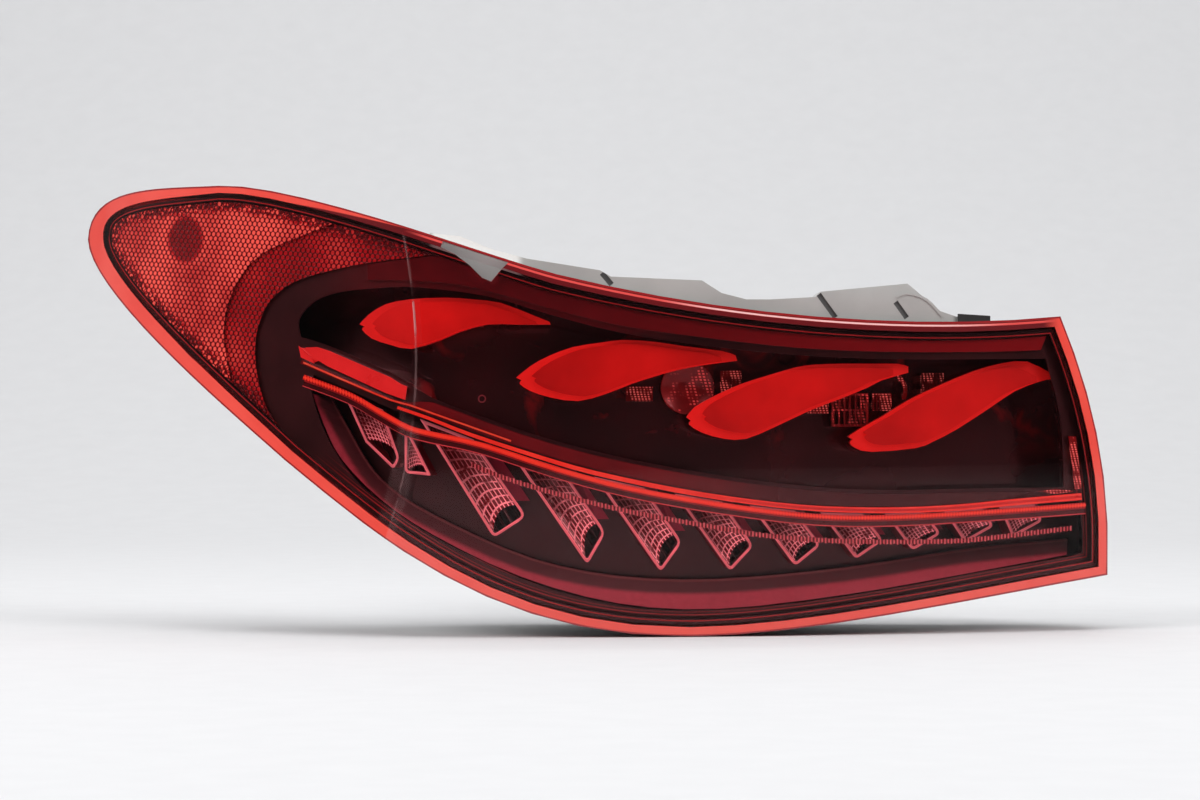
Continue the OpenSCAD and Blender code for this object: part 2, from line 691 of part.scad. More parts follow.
module chamber() color([0.15, 0.05, 0.06])
    difference() {
        union() {
            layer(plate_depth + plate_t + fit, chamber_depth + inner_wall)
                ring(inset(chamber_opening, -2*inner_wall), inset(chamber_opening, -inner_wall));
            layer(chamber_depth, chamber_depth + inner_wall)
                polygon(inset(chamber_opening, -2*inner_wall));
            intersection() {
                behind(chamber_depth + inner_wall/2);
                for (p = post_places) bar(p, 2*screw_dia, -reach, back_y(p.x) - tub_wall - fit);
            }
        }
        for (p = post_places) bar(p, screw_dia, back_y(p.x) - 4*screw_dia, 0);
        for (i = [0:3], t = led_shares)
            layer(chamber_depth - 1, chamber_depth + inner_wall + 1)
                translate(on_blade(i, t)) square(led_size + 1, center = true);
    }

// A blade's raised front facet, smaller than the blade by this share
facet_share = 0.86;
facet_h = 1.5;
module blade(i) color("red") {
    path = blade_path(i);
    middle = on_blade(i, 0.5);
    layer(blade_depth, blade_depth + facet_h + 0.5)
        polygon([for (p = path) middle + facet_share*(p - middle)]);
    layer(blade_depth + facet_h, blade_depth + blade_t) polygon(path);
    layer(blade_depth + blade_t - 1, chamber_depth - fit)
        polygon(strip([on_blade(i, 0.25), on_blade(i, 0.65)], blade_web, blade_web));
}
module blade_1() blade(0);
module blade_2() blade(1);
module blade_3() blade(2);
module blade_4() blade(3);

optic_places = drawn([[22, 10], [73.5, 17], [123, 3], [159.5, 5.5], [189, 16]]);
optic_sizes = drawn([[15, 8], [12, 12], [12, 8], [11, 10], [13, 12]]);
module ribbed_optics() color("crimson")
    for (i = [0:len(optic_places) - 1]) {
        p = optic_places[i];
        s = optic_sizes[i];
        layer(chamber_depth - 6, chamber_depth - fit) translate(p) square(s, center = true);
        layer(chamber_depth - 8, chamber_depth - 5) translate(p)
            for (x = [-s.x/2:2:s.x/2 - 1]) translate([x, -s.y/2]) square([1, s.y]);
    }

bowl_at = drawn([[49, 13.5]])[0];
bowl_r = 15 * lamp_w/drawn_w;
bowl_h = 4;
module bowl_reflectors() color("darkred") {
    rise = [for (k = [0:8]) [k/8*bowl_r, bowl_h*k*k/64]];
    y = face_y(bowl_at.x, bowl_at.y, chamber_depth - 2);
    translate([bowl_at.x, y, bowl_at.y]) rotate([90, 0, 0]) rotate_extrude($fn = 64)
        polygon(concat(rise, [for (k = [8:-1:0]) rise[k] + [0, 1.4]]));
    layer(chamber_depth - 3.5, chamber_depth - fit) translate(bowl_at) circle(d = 10, $fn = 32);
}

box_at = drawn([[141, 1]])[0];
box_size = drawn([[21, 19]])[0];
box_cells = [6, 2];
box_wall = 1;
module box_reflector() color("crimson") {
    cell = [for (k = [0:1]) (box_size[k] - 2*box_wall)/box_cells[k]];
    difference() {
        layer(chamber_depth - 10, chamber_depth - fit) translate(box_at)
            square(box_size, center = true);
        layer(chamber_depth - 11, chamber_depth - 3)
            for (i = [0:box_cells.x - 1], j = [0:box_cells.y - 1])
                translate(box_at - box_size/2 + [box_wall + i*cell.x, box_wall + j*cell.y])
                    translate([0.4, 0.4]) square(cell - [0.8, 0.8]);
    }
}

module curved_rod() color("red")
    layer(chamber_depth - 9, chamber_depth - fit)
        polygon(strip(whole(drawn([[168, 21], [171.5, 17], [173, 12], [172, 7]]), 3), 2.4, 2.4));

module side_prism() color("red") {
    layer(trim_depth, plate_depth - fit)
        polygon(drawn([[266, -14], [270.5, -14], [274, -43.5], [270, -44.5]]));
    layer(trim_depth + 0.8, plate_depth - fit)
        polygon(drawn([[247, -45.2], [258, -43.8], [268.4, -45], [269, -45.6], [258, -46.6]]));
}

module blade_board() color("darkgreen") {
    front = chamber_depth + inner_wall + fit;
    layer(front, front + board_t)
        for (i = [0:3]) polygon(strip([on_blade(i, 0.2), on_blade(i, 0.7)], 14, 14));
    layer(chamber_depth + 0.8, front + 0.4)
        for (i = [0:3], t = led_shares) translate(on_blade(i, t)) square(led_size, center = true);
}

module cup_board() color("darkgreen") {
    front = cup_floor + inner_wall + fit;
    layer(front, front + board_t) polygon(strip(lowered(rod_line, -4), 12, 12));
}

module marker_board() color("darkgreen")
    layer(plate_depth + plate_t + fit, plate_depth + plate_t + fit + board_t)
        polygon(rounded(drawn([[-262, 108], [-222, 96], [-222, 60], [-262, 78]]), [3, 3, 3, 3]));

module stud(p)
    difference() {
        union() {
            bar(p, stud_dia + stud_root, -stud_hold, 0, 48);
            bar(p, stud_dia, -stud_root, stud_len, 48);
        }
        translate([p.x, stud_len, p.y]) rotate([90, 0, 0]) cylinder(d = stud_dia/3, h = 1, $fn = 24);
    }
module main_studs() color("silver") for (p = main_studs_at) stud(p);
module side_stud() color("silver") stud(side_stud_at);
module locating_pin() color("white")
    union() {
        bar(pin_at, pin_dia - pin_step, -step_gap, pin_boss_end + pin_step, 48);
        bar(pin_at, pin_dia, pin_boss_end, pin_boss_end + pin_len - 3, 48);
        bar(pin_at, pin_dia - 3, pin_boss_end + pin_len - 4, pin_boss_end + pin_len, 48);
    }

gasket_inset = 12;
gasket_w = 6;
module gasket() color("black")
    difference() {
        upright(-30, -1) difference() {
            intersection() {
                polygon(even(gasket_inset));
                translate([body_end_x + 5, -reach]) square(3*reach);
            }
            intersection() {
                polygon(even(gasket_inset + gasket_w));
                translate([body_end_x + 5 + gasket_w, -reach]) square(3*reach);
            }
        }
        back_block(fit);
    }

socket_at = drawn([[132, -62]])[0];
socket_size = [32, 16];
socket_wall = 1.6;
socket_end = 6;
socket_flange = [5, 2.5];
contact_places = [for (x = [-9:6:9], z = [-2.5, 2.5]) [x, z]];
module connector_shell() color([0.12, 0.12, 0.12])
    translate([socket_at.x, 0, socket_at.y]) difference() {
        union() {
            translate([
                -socket_size.x/2 - socket_flange.x, -step_gap + fit, -socket_size.y/2 - socket_flange.x
            ])
                cube([
                    socket_size.x + 2*socket_flange.x, socket_flange.y,
                    socket_size.y + 2*socket_flange.x
                ]);
            translate([-socket_size.x/2, -step_gap + fit, -socket_size.y/2])
                cube([socket_size.x, step_gap + socket_end - fit, socket_size.y]);
        }
        translate([-socket_size.x/2 + socket_wall, -step_gap + 3, -socket_size.y/2 + socket_wall])
            cube([socket_size.x - 2*socket_wall, step_gap + socket_end,
                socket_size.y - 2*socket_wall]);
        for (p = contact_places)
            translate([p.x - 0.6, -step_gap, p.y - 0.6]) cube([1.2, 6, 1.2]);
    }
module connector_pins() color("gold")
    for (p = contact_places)
        translate([socket_at.x + p.x - 0.5, -step_gap + fit, socket_at.y + p.y - 0.5])
            cube([1, 12, 1]);

unit_at = drawn([[-4, -70]])[0];
unit_size = [84, 12, 34];
fin_h = 4;
module control_unit() color("dimgray")
    difference() {
        union() {
            translate([unit_at.x - unit_size.x/2, -back_gap + fit, unit_at.y - unit_size.z/2])
                cube([unit_size.x, unit_size.y - fin_h, unit_size.z]);
            for (x = [-unit_size.x/2 + 12:6:unit_size.x/2 - 13])
                translate([
                    unit_at.x + x, -back_gap + unit_size.y - fin_h - 1, unit_at.y - unit_size.z/2 + 3
                ])
                    cube([2, fin_h + 1, unit_size.z - 6]);
        }
        for (p = unit_screw_places) bar(p, screw_dia, -back_gap, unit_size.y - back_gap);
    }
unit_screw_places = [for (x = [-1, 1], z = [-1, 1])
    unit_at + [x*(unit_size.x/2 - 5), z*(unit_size.z/2 - 5)]];
module screw(p, seat) {
    bar(p, 1.9*screw_dia, seat, seat + 2.4);
    bar(p, screw_dia - fit, seat - 6, seat + 0.5);
}
module unit_screws() color("silver")
    for (p = unit_screw_places) screw(p, -back_gap + unit_size.y - fin_h + fit);
module chamber_screws() color("silver")
    for (p = post_places) screw(p, back_y(p.x) + fit);

vent_places = drawn([[-120, 10], [205, -60]]);
module vent_caps() color("black")
    for (p = vent_places) difference() {
        bar(p, 16, back_y(p.x) + fit, back_y(p.x) + 4);
        bar(p, 9, back_y(p.x) + 3, back_y(p.x) + 5);
    }

housing();
tray_pad();
outer_lens();
lens_rim();
border_frame();
bezel();
reflex_panel();
upper_trim();
trim_bar();
mid_trim();
accent_strip();
light_guide();
light_strip();
marker_rod();
chamber();
blade_1();
blade_2();
blade_3();
blade_4();
ribbed_optics();
bowl_reflectors();
box_reflector();
curved_rod();
side_prism();
bank_tray();
reflector_cups();
ledge_trim();
blade_board();
cup_board();
marker_board();
main_studs();
side_stud();
locating_pin();
gasket();
connector_shell();
connector_pins();
control_unit();
unit_screws();
chamber_screws();
vent_caps();
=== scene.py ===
import math

import bpy
import numpy as np
from mathutils import Matrix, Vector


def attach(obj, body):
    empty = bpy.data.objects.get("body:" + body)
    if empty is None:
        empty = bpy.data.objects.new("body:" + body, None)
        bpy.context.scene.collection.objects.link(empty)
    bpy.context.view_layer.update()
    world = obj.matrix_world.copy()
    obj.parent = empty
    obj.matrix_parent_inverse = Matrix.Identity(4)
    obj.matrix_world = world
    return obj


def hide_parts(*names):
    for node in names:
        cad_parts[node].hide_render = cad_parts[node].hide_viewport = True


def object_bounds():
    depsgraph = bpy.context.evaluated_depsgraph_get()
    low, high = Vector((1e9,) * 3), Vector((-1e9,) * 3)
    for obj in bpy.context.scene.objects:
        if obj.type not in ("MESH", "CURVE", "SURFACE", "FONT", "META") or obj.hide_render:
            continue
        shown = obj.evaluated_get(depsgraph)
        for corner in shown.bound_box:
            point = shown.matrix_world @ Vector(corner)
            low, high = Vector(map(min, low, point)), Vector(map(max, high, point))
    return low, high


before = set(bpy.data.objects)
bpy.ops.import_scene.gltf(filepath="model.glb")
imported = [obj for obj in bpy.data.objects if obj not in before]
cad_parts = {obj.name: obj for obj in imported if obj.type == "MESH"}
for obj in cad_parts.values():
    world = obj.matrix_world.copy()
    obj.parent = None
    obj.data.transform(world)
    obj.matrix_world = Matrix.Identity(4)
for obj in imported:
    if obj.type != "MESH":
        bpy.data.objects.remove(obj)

cad_low, cad_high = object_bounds()
mm = 0.001

# Camera. Level, square to the mounting plane and two metres from the lens,
# as in the photograph: 660 mm of the lens's plane fill the picture's width.
bpy.ops.object.select_all(action="DESELECT")
lens_front = -130 * mm
view_distance = 2.0
bpy.ops.object.camera_add(location=(0, lens_front - view_distance, 6.6 * mm),
    rotation=(math.radians(90), 0, 0))
camera = bpy.context.object
camera.name = "camera"
camera.data.sensor_width = 36
camera.data.lens = 36 * view_distance / 0.660
camera.data.clip_start, camera.data.clip_end = 0.1, 30
bpy.context.scene.camera = camera

# Studio. A pale floor just under the lamp that sweeps up into a pale wall
# behind it, and large soft lamps. The room is dim in front of the lamp, so
# the lens shows what is inside it and not the room.
bpy.context.scene.view_settings.view_transform = "Standard"
floor_z = cad_low.z - 0.4 * mm
bpy.ops.mesh.primitive_grid_add(x_subdivisions=4, y_subdivisions=60, size=1)
floor = bpy.context.object
floor.name = "studio_floor"
for v in floor.data.vertices:
    along = v.co.y + 0.5
    bend = max(0.0, along - 0.5) / 0.5
    v.co.x *= 16
    v.co.y = -4 + 5.2 * min(along / 0.5, 1.0) + 2.4 * math.sin(bend * math.pi / 2)
    v.co.z = floor_z + 2.4 * (1 - math.cos(bend * math.pi / 2)) + 40 * max(0.0, bend - 0.96)
bpy.ops.object.shade_smooth()


def new_finish(name):
    """An empty material with its Principled shader, and the node tree to fill."""
    made = bpy.data.materials.new(name)
    made.use_nodes = True
    tree = made.node_tree
    return made, tree, tree.nodes["Principled BSDF"]


def add(tree, kind, **values):
    """A node in a tree, with its sockets and settings."""
    node = tree.nodes.new(kind)
    for key, value in values.items():
        if key in node.inputs:
            node.inputs[key].default_value = value
        else:
            setattr(node, key, value)
    return node


def join(tree, source, target):
    tree.links.new(source, target)


floor_paint, tree, shader = new_finish("floor_paint")
place = add(tree, "ShaderNodeTexCoord")
speckle = add(tree, "ShaderNodeTexNoise", Scale=40)
join(tree, place.outputs["Object"], speckle.inputs["Vector"])
ramp = add(tree, "ShaderNodeValToRGB")
ramp.color_ramp.elements[0].color = (0.72, 0.72, 0.73, 1)
ramp.color_ramp.elements[1].color = (0.76, 0.76, 0.77, 1)
join(tree, speckle.outputs["Fac"], ramp.inputs["Fac"])
join(tree, ramp.outputs["Color"], shader.inputs["Base Color"])
shader.inputs["Roughness"].default_value = 0.95
floor.data.materials.append(floor_paint)

for name, place, turn, size, power in (
    ("soft_left", (-1.9, -1.7, 1.7), (54, 0, -48), (1.5, 1.1), 34),
    ("soft_right", (2.0, -1.5, 1.5), (57, 0, 53), (1.3, 1.1), 25),
    ("soft_top", (0.0, -0.3, 2.4), (6, 0, 0), (2.6, 1.6), 34),
    ("soft_wall", (0.0, 1.5, 3.2), (38, 0, 0), (4.0, 1.0), 46),
):
    bpy.ops.object.light_add(type="AREA", location=place, rotation=[math.radians(a) for a in turn])
    lamp = bpy.context.object
    lamp.name = name
    lamp.data.shape = "RECTANGLE"
    lamp.data.size, lamp.data.size_y = size
    lamp.data.energy = power

world = bpy.context.scene.world or bpy.data.worlds.new("studio")
bpy.context.scene.world = world
world.use_nodes = True
tree = world.node_tree
backdrop = tree.nodes["Background"]
backdrop.inputs["Color"].default_value = (0.80, 0.81, 0.83, 1)
room = add(tree, "ShaderNodeTexCoord")
room_axes = add(tree, "ShaderNodeSeparateXYZ")
join(tree, room.outputs["Generated"], room_axes.inputs["Vector"])
upward = add(tree, "ShaderNodeMath", operation="ADD")
join(tree, room_axes.outputs["Y"], upward.inputs[0])
join(tree, room_axes.outputs["Z"], upward.inputs[1])
dimming = add(tree, "ShaderNodeMapRange", interpolation_type="SMOOTHSTEP")
for key, value in (("From Min", -0.6), ("From Max", 1.1), ("To Min", 0.10), ("To Max", 0.55)):
    dimming.inputs[key].default_value = value
join(tree, upward.outputs[0], dimming.inputs["Value"])
join(tree, dimming.outputs["Result"], backdrop.inputs["Strength"])

# Housing. Grey moulded tub with its raised tray, satin from the mould. It is
# one injection moulding; the lens is welded to its flange.


def moulded(name, dark, light, roughness, grain=60, bump=0.05, bump_grain=900, coat=0.0, metal=0.0,
    glow=None):
    """Moulded plastic: the colour drifts between two tones over a fine grain; a glow, where given, is
    painted light.
    """
    made, tree, shader = new_finish(name)
    place = add(tree, "ShaderNodeTexCoord")
    drift = add(tree, "ShaderNodeTexNoise", Scale=grain, Detail=5)
    join(tree, place.outputs["Object"], drift.inputs["Vector"])
    tones = add(tree, "ShaderNodeValToRGB")
    tones.color_ramp.elements[0].position = 0.3
    tones.color_ramp.elements[0].color = (*dark, 1)
    tones.color_ramp.elements[1].position = 0.7
    tones.color_ramp.elements[1].color = (*light, 1)
    join(tree, drift.outputs["Fac"], tones.inputs["Fac"])
    join(tree, tones.outputs["Color"], shader.inputs["Base Color"])
    skin = add(tree, "ShaderNodeTexNoise", Scale=bump_grain, Detail=3)
    join(tree, place.outputs["Object"], skin.inputs["Vector"])
    relief = add(tree, "ShaderNodeBump", Strength=bump, Distance=0.0002)
    join(tree, skin.outputs["Fac"], relief.inputs["Height"])
    join(tree, relief.outputs["Normal"], shader.inputs["Normal"])
    wear = add(tree, "ShaderNodeMapRange")
    wear.inputs["To Min"].default_value = roughness * 0.85
    wear.inputs["To Max"].default_value = roughness * 1.2
    join(tree, drift.outputs["Fac"], wear.inputs["Value"])
    join(tree, wear.outputs["Result"], shader.inputs["Roughness"])
    shader.inputs["Coat Weight"].default_value = coat
    shader.inputs["Metallic"].default_value = metal
    if glow:
        shader.inputs["Emission Color"].default_value = (*glow[0], 1)
        shader.inputs["Emission Strength"].default_value = glow[1]
    return made


# The lens's outer face lies on a ball at the rear and on a leaning barrel at
# the side, and every layer behind it lies at its own depth inside both.
ball_centre, ball_radius = np.array((-60, 768, -30)) * mm, 900 * mm
barrel_centre, barrel_radius = np.array((52, 293, 0)) * mm, 450 * mm
barrel_axis = np.array((math.sin(math.radians(10)), 0, math.cos(math.radians(10))))


def polish(piece):
    """True normals on all faces that follow the ball or the barrel."""
    mesh = piece.data
    co = np.zeros(len(mesh.vertices) * 3)
    mesh.vertices.foreach_get("co", co)
    co = co.reshape(-1, 3)
    corner = np.zeros(len(mesh.loops), np.int32)
    mesh.loops.foreach_get("vertex_index", corner)
    normals = np.zeros(len(mesh.loops) * 3)
    mesh.corner_normals.foreach_get("vector", normals)
    normals = normals.reshape(-1, 3)
    flat = np.zeros(len(mesh.polygons) * 3)
    mesh.polygons.foreach_get("normal", flat)
    flat = flat.reshape(-1, 3)
    from_ball = co - ball_centre
    from_barrel = co - barrel_centre
    from_barrel = from_barrel - np.outer(from_barrel @ barrel_axis, barrel_axis)
    for away in (from_ball, from_barrel):
        reach = np.linalg.norm(away, axis=1)
        away = away / reach[:, None]
        reach, away = reach[corner].reshape(-1, 3), away[corner].reshape(-1, 3, 3)
        side = np.einsum("fk,fk->f", away.mean(axis=1), flat)
        on_it = (np.ptp(reach, axis=1) < 0.03 * mm) & (abs(side) > 0.985)
        true = away[on_it] * np.sign(side[on_it])[:, None, None]
        normals.reshape(-1, 3, 3)[on_it] = true
    mesh.normals_split_custom_set([tuple(n) for n in normals])


def smoothed(node, finish, angle=30):
    """A CAD node's shape with its triangles joined up and shaded smooth."""
    bpy.ops.object.select_all(action="DESELECT")
    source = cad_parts[node]
    piece = source.copy()
    piece.data = source.data.copy()
    for key in list(piece.keys()):
        del piece[key]
    piece.parent = None
    piece.matrix_world = Matrix.Identity(4)
    piece.name = node + "_dressed"
    bpy.context.scene.collection.objects.link(piece)
    piece.select_set(True)
    bpy.context.view_layer.objects.active = piece
    bpy.ops.object.mode_set(mode="EDIT")
    bpy.ops.mesh.select_all(action="SELECT")
    bpy.ops.mesh.remove_doubles(threshold=0.000002)
    bpy.ops.object.mode_set(mode="OBJECT")
    bpy.ops.object.shade_smooth_by_angle(angle=math.radians(angle))
    bpy.ops.object.modifier_add(type="WEIGHTED_NORMAL")
    piece.modifiers[-1].keep_sharp = True
    bpy.ops.object.modifier_apply(modifier=piece.modifiers[-1].name)
    polish(piece)
    piece.data.materials.clear()
    piece.data.materials.append(finish)
    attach(piece, "root")
    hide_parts(node)
    return piece


def dress(node, finish):
    """A CAD node shown as it is, in a better finish."""
    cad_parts[node].data.materials.clear()
    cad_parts[node].data.materials.append(finish)


def number(tree, operation, a, b=None, c=None):
    """One step of arithmetic on values or sockets."""
    node = add(tree, "ShaderNodeMath", operation=operation)
    for k, part in enumerate((a, b, c)):
        if part is None:
            continue
        if isinstance(part, (int, float)):
            node.inputs[k].default_value = part
        else:
            tree.links.new(part, node.inputs[k])
    return node.outputs[0]


def times(tree, first, *others):
    """The product of values or sockets."""
    for other in others:
        first = number(tree, "MULTIPLY", first, other)
    return first


def fade(tree, value, low, high):
    """Rises softly from 0 to 1 as the value goes from low to high."""
    node = add(tree, "ShaderNodeMapRange", interpolation_type="SMOOTHSTEP")
    node.inputs["From Min"].default_value = low
    node.inputs["From Max"].default_value = high
    join(tree, value, node.inputs["Value"])
    return node.outputs["Result"]


def stripe(tree, value, centre, half):
    """1 on a line at the centre value, 0 away from it."""
    return fade(tree, number(tree, "ABSOLUTE", number(tree, "SUBTRACT", value, centre)), half, half * 0.6)


def blend(tree, share, a, b):
    """A colour between two colours, each a value or a socket."""
    node = add(tree, "ShaderNodeMix", data_type="RGBA")
    for socket, part in ((node.inputs[0], share), (node.inputs[6], a), (node.inputs[7], b)):
        if isinstance(part, tuple):
            socket.default_value = (*part, 1)
        elif isinstance(part, (int, float)):
            socket.default_value = part
        else:
            join(tree, part, socket)
    return node.outputs[2]


def places(tree):
    """X and Z of a point in millimetres."""
    spot = add(tree, "ShaderNodeTexCoord")
    scaled = add(tree, "ShaderNodeVectorMath", operation="SCALE")
    scaled.inputs["Scale"].default_value = 1000
    join(tree, spot.outputs["Object"], scaled.inputs[0])
    axes = add(tree, "ShaderNodeSeparateXYZ")
    join(tree, scaled.outputs["Vector"], axes.inputs["Vector"])
    return axes.outputs["X"], axes.outputs["Z"]


def depth_in(tree):
    """How deep a point lies behind the lens's outer face, in millimetres."""
    spot = add(tree, "ShaderNodeTexCoord")
    reaches = []
    for centre, radius, axis in ((ball_centre, ball_radius, None),
        (barrel_centre, barrel_radius, barrel_axis)):
        away = add(tree, "ShaderNodeVectorMath", operation="SUBTRACT")
        away.inputs[1].default_value = tuple(centre)
        join(tree, spot.outputs["Object"], away.inputs[0])
        if axis is not None:
            across = add(tree, "ShaderNodeVectorMath", operation="CROSS_PRODUCT")
            across.inputs[1].default_value = tuple(axis)
            join(tree, away.outputs["Vector"], across.inputs[0])
            away = across
        length = add(tree, "ShaderNodeVectorMath", operation="LENGTH")
        join(tree, away.outputs["Vector"], length.inputs[0])
        reaches.append(times(tree, number(tree, "SUBTRACT", float(radius), length.outputs["Value"]),
            1000.0))
    return number(tree, "MINIMUM", *reaches), reaches


def paint_over(finish, share, colour, glow=0.0):
    """Lays a colour over a finish where the share is 1, with a painted glow if wanted."""
    tree = finish.node_tree
    shader = tree.nodes["Principled BSDF"]
    socket = shader.inputs["Base Color"]
    join(tree, blend(tree, share, socket.links[0].from_socket, colour), socket)
    if glow:
        light = shader.inputs["Emission Strength"]
        shader.inputs["Emission Color"].default_value = (*colour, 1)
        join(tree, times(tree, share, glow), light)


grey_plastic = moulded("grey_plastic", (0.44, 0.44, 0.425), (0.52, 0.52, 0.50), 0.38, grain=25, bump=0.03,
    bump_grain=600)
tree = grey_plastic.node_tree
x, z = places(tree)
depth, reaches = depth_in(tree)
groove_floor = 23.2
# Painted shade: a near-black stripe on the groove floor in the upper housing.
groove = times(tree, stripe(tree, depth, groove_floor, 0.3), fade(tree, z, 50, 52))
paint_over(grey_plastic, groove, (0.10, 0.10, 0.10))
# Painted light: the housing seen through the chip in the lens is painted pale and given a glow.
chip = times(tree, fade(tree, x, -96, -92), fade(tree, x, -42, -47), fade(tree, z, 70, 74))
paint_over(grey_plastic, times(tree, chip, fade(tree, depth, 45, 38)), (0.80, 0.80, 0.78), glow=0.16)
smoothed("housing", grey_plastic)
pad_rubber = moulded("pad_rubber", (0.012, 0.012, 0.012), (0.03, 0.03, 0.03), 0.7)
dress("tray_pad", pad_rubber)

# Lens. 3 mm of clear polycarbonate in smoked red, polished on both sides. Its upper edge is chipped, and
# the chip's walls are rough and bright. The crease where the rear and side faces meet is a little
# rounded. A rough pink sheen painted along it stands for the light it catches: a painted highlight,
# stronger between about 40 and 66 mm up, and a wide faint painted reflection lower down, broken up by
# noise.
lens_tint = (0.97, 0.74, 0.75)
lens_index = 1.23
lens_plastic = bpy.data.materials.new("lens_plastic")
lens_plastic.use_nodes = True
tree = lens_plastic.node_tree
tree.nodes.clear()
out = add(tree, "ShaderNodeOutputMaterial")
place = add(tree, "ShaderNodeTexCoord")
dust = add(tree, "ShaderNodeTexNoise", Scale=70, Detail=6, Roughness=0.7)
join(tree, place.outputs["Object"], dust.inputs["Vector"])
tones = add(tree, "ShaderNodeValToRGB")
tones.color_ramp.elements[0].position = 0.35
tones.color_ramp.elements[0].color = (*[c * 0.97 for c in lens_tint], 1)
tones.color_ramp.elements[1].position = 0.65
tones.color_ramp.elements[1].color = (*lens_tint, 1)
join(tree, dust.outputs["Fac"], tones.inputs["Fac"])
clear = add(tree, "ShaderNodeBsdfTransparent")
join(tree, tones.outputs["Color"], clear.inputs["Color"])
gloss = add(tree, "ShaderNodeBsdfGlossy", Roughness=0.03)
gloss.inputs["Color"].default_value = (1, 0.96, 0.96, 1)
fresnel = add(tree, "ShaderNodeFresnel", IOR=lens_index)
facing = add(tree, "ShaderNodeNewGeometry")
front = number(tree, "SUBTRACT", 1.0, facing.outputs["Backfacing"])
mix = add(tree, "ShaderNodeMixShader")
join(tree, times(tree, fresnel.outputs["Fac"], front), mix.inputs["Fac"])
join(tree, clear.outputs["BSDF"], mix.inputs[1])
join(tree, gloss.outputs["BSDF"], mix.inputs[2])
x, z = places(tree)
depth, reaches = depth_in(tree)
across = number(tree, "SUBTRACT", reaches[0], reaches[1])
# Painted highlight and painted reflection along the crease, broken up by noise.
faint = 0.18
glare = number(tree, "ADD", faint, times(tree, fade(tree, z, 40, 48), fade(tree, z, 66, 58), 0.5))
crease = times(tree, stripe(tree, across, 0.0, 0.24), glare)
painted_low_sheen = times(tree, stripe(tree, across, 0.5, 2.2), fade(tree, z, 14, -4), 0.06)
crease = number(tree, "MAXIMUM", crease, painted_low_sheen)
crease = times(tree, crease, front, fade(tree, x, -85, -95))
sheen_breakup = add(tree, "ShaderNodeTexNoise", Scale=55, Detail=2)
join(tree, place.outputs["Object"], sheen_breakup.inputs["Vector"])
crease = times(tree, crease, fade(tree, sheen_breakup.outputs["Fac"], 0.30, 0.55))
shine = add(tree, "ShaderNodeBsdfGlossy", Roughness=0.35)
shine.inputs["Color"].default_value = (1.0, 0.55, 0.55, 1)
creased = add(tree, "ShaderNodeMixShader")
join(tree, crease, creased.inputs["Fac"])
join(tree, mix.outputs["Shader"], creased.inputs[1])
join(tree, shine.outputs["BSDF"], creased.inputs[2])
chipped = add(tree, "ShaderNodeAttribute", attribute_name="chipped").outputs["Fac"]
rough = add(tree, "ShaderNodeBsdfDiffuse")
grit = add(tree, "ShaderNodeTexNoise", Scale=700, Detail=2)
join(tree, place.outputs["Object"], grit.inputs["Vector"])
join(tree, blend(tree, fade(tree, grit.outputs["Fac"], 0.45, 0.6), (0.75, 0.02, 0.03),
    (0.95, 0.55, 0.55)), rough.inputs["Color"])
broken = add(tree, "ShaderNodeMixShader")
join(tree, chipped, broken.inputs["Fac"])
join(tree, creased.outputs["Shader"], broken.inputs[1])
join(tree, rough.outputs["BSDF"], broken.inputs[2])
join(tree, broken.outputs["Shader"], out.inputs["Surface"])
lens = smoothed("outer_lens", lens_plastic)


def mark_faces(piece, name, wanted):
    """Stores 1 on each face that a rule on its centre (in mm) and normal picks, else 0."""
    mesh = piece.data
    values = [float(wanted(face.center / mm, face.normal)) for face in mesh.polygons]
    mesh.attributes.new(name, "FLOAT", "FACE").data.foreach_set("value", values)


def on_chip(centre, normal):
    """Whether a face of the lens is a wall of the chip."""
    return -89 < centre.x < -48 and centre.z > 70 and abs(normal.y) < 0.5


mark_faces(lens, "chipped", on_chip)

# Rim of the lens. The lighter red second shot round the lens, with a thin dark outer edge. Along the top
# it turns into a dark red lip with a painted highlight line on it, whiter in the middle.
stations = np.array((
    (-305, 102), (-305, 135), (-258, 129),
    (-218, 129), (-175, 129), (-69, 88),
    (-24, 76), (70, 53), (171, 45),
    (261, 54), (278, 13), (291, -32),
    (289, -93), (202, -106), (115, -124),
    (50, -124), (-51, -124), (-105, -82),
    (-176, -27), (-216, 6), (-303, 74)), float)
rim_widths = np.array((11, 4, 5.5, 5.5, 5.5, 5, 6.5))


def outline(widths, steps=20):
    """The lens's outline, moved inwards by a width at each of its seven stations."""
    third = np.arange(21) // 3
    share = np.arange(21) % 3 / 3
    w = widths[third] * (1 - share) + widths[(third + 1) % 7] * share
    before = stations - np.roll(stations, 1, 0)
    after = np.roll(stations, -1, 0) - stations
    before, after = (v / np.linalg.norm(v, axis=1)[:, None] for v in (before, after))
    u, v = (np.stack((t[:, 1], -t[:, 0]), 1) for t in (before, after))
    points = stations + w[:, None] * (u + v) / (1 + (u * v).sum(1))[:, None]
    t = np.arange(steps)[:, None] / steps
    curve = []
    for k in range(7):
        a, b, c, d = (points[(3 * k + m) % 21] for m in range(4))
        curve.append(a * (1 - t) ** 3 + 3 * b * t * (1 - t) ** 2 + 3 * c * t * t * (1 - t) + d * t ** 3)
    return np.concatenate(curve)


def refined(piece, cuts):
    """Splits every face, so that what is stored on the vertices follows the piece closely."""
    bpy.ops.object.select_all(action="DESELECT")
    piece.select_set(True)
    bpy.context.view_layer.objects.active = piece
    bpy.ops.object.mode_set(mode="EDIT")
    bpy.ops.mesh.select_all(action="SELECT")
    bpy.ops.mesh.subdivide(number_cuts=cuts)
    bpy.ops.object.mode_set(mode="OBJECT")


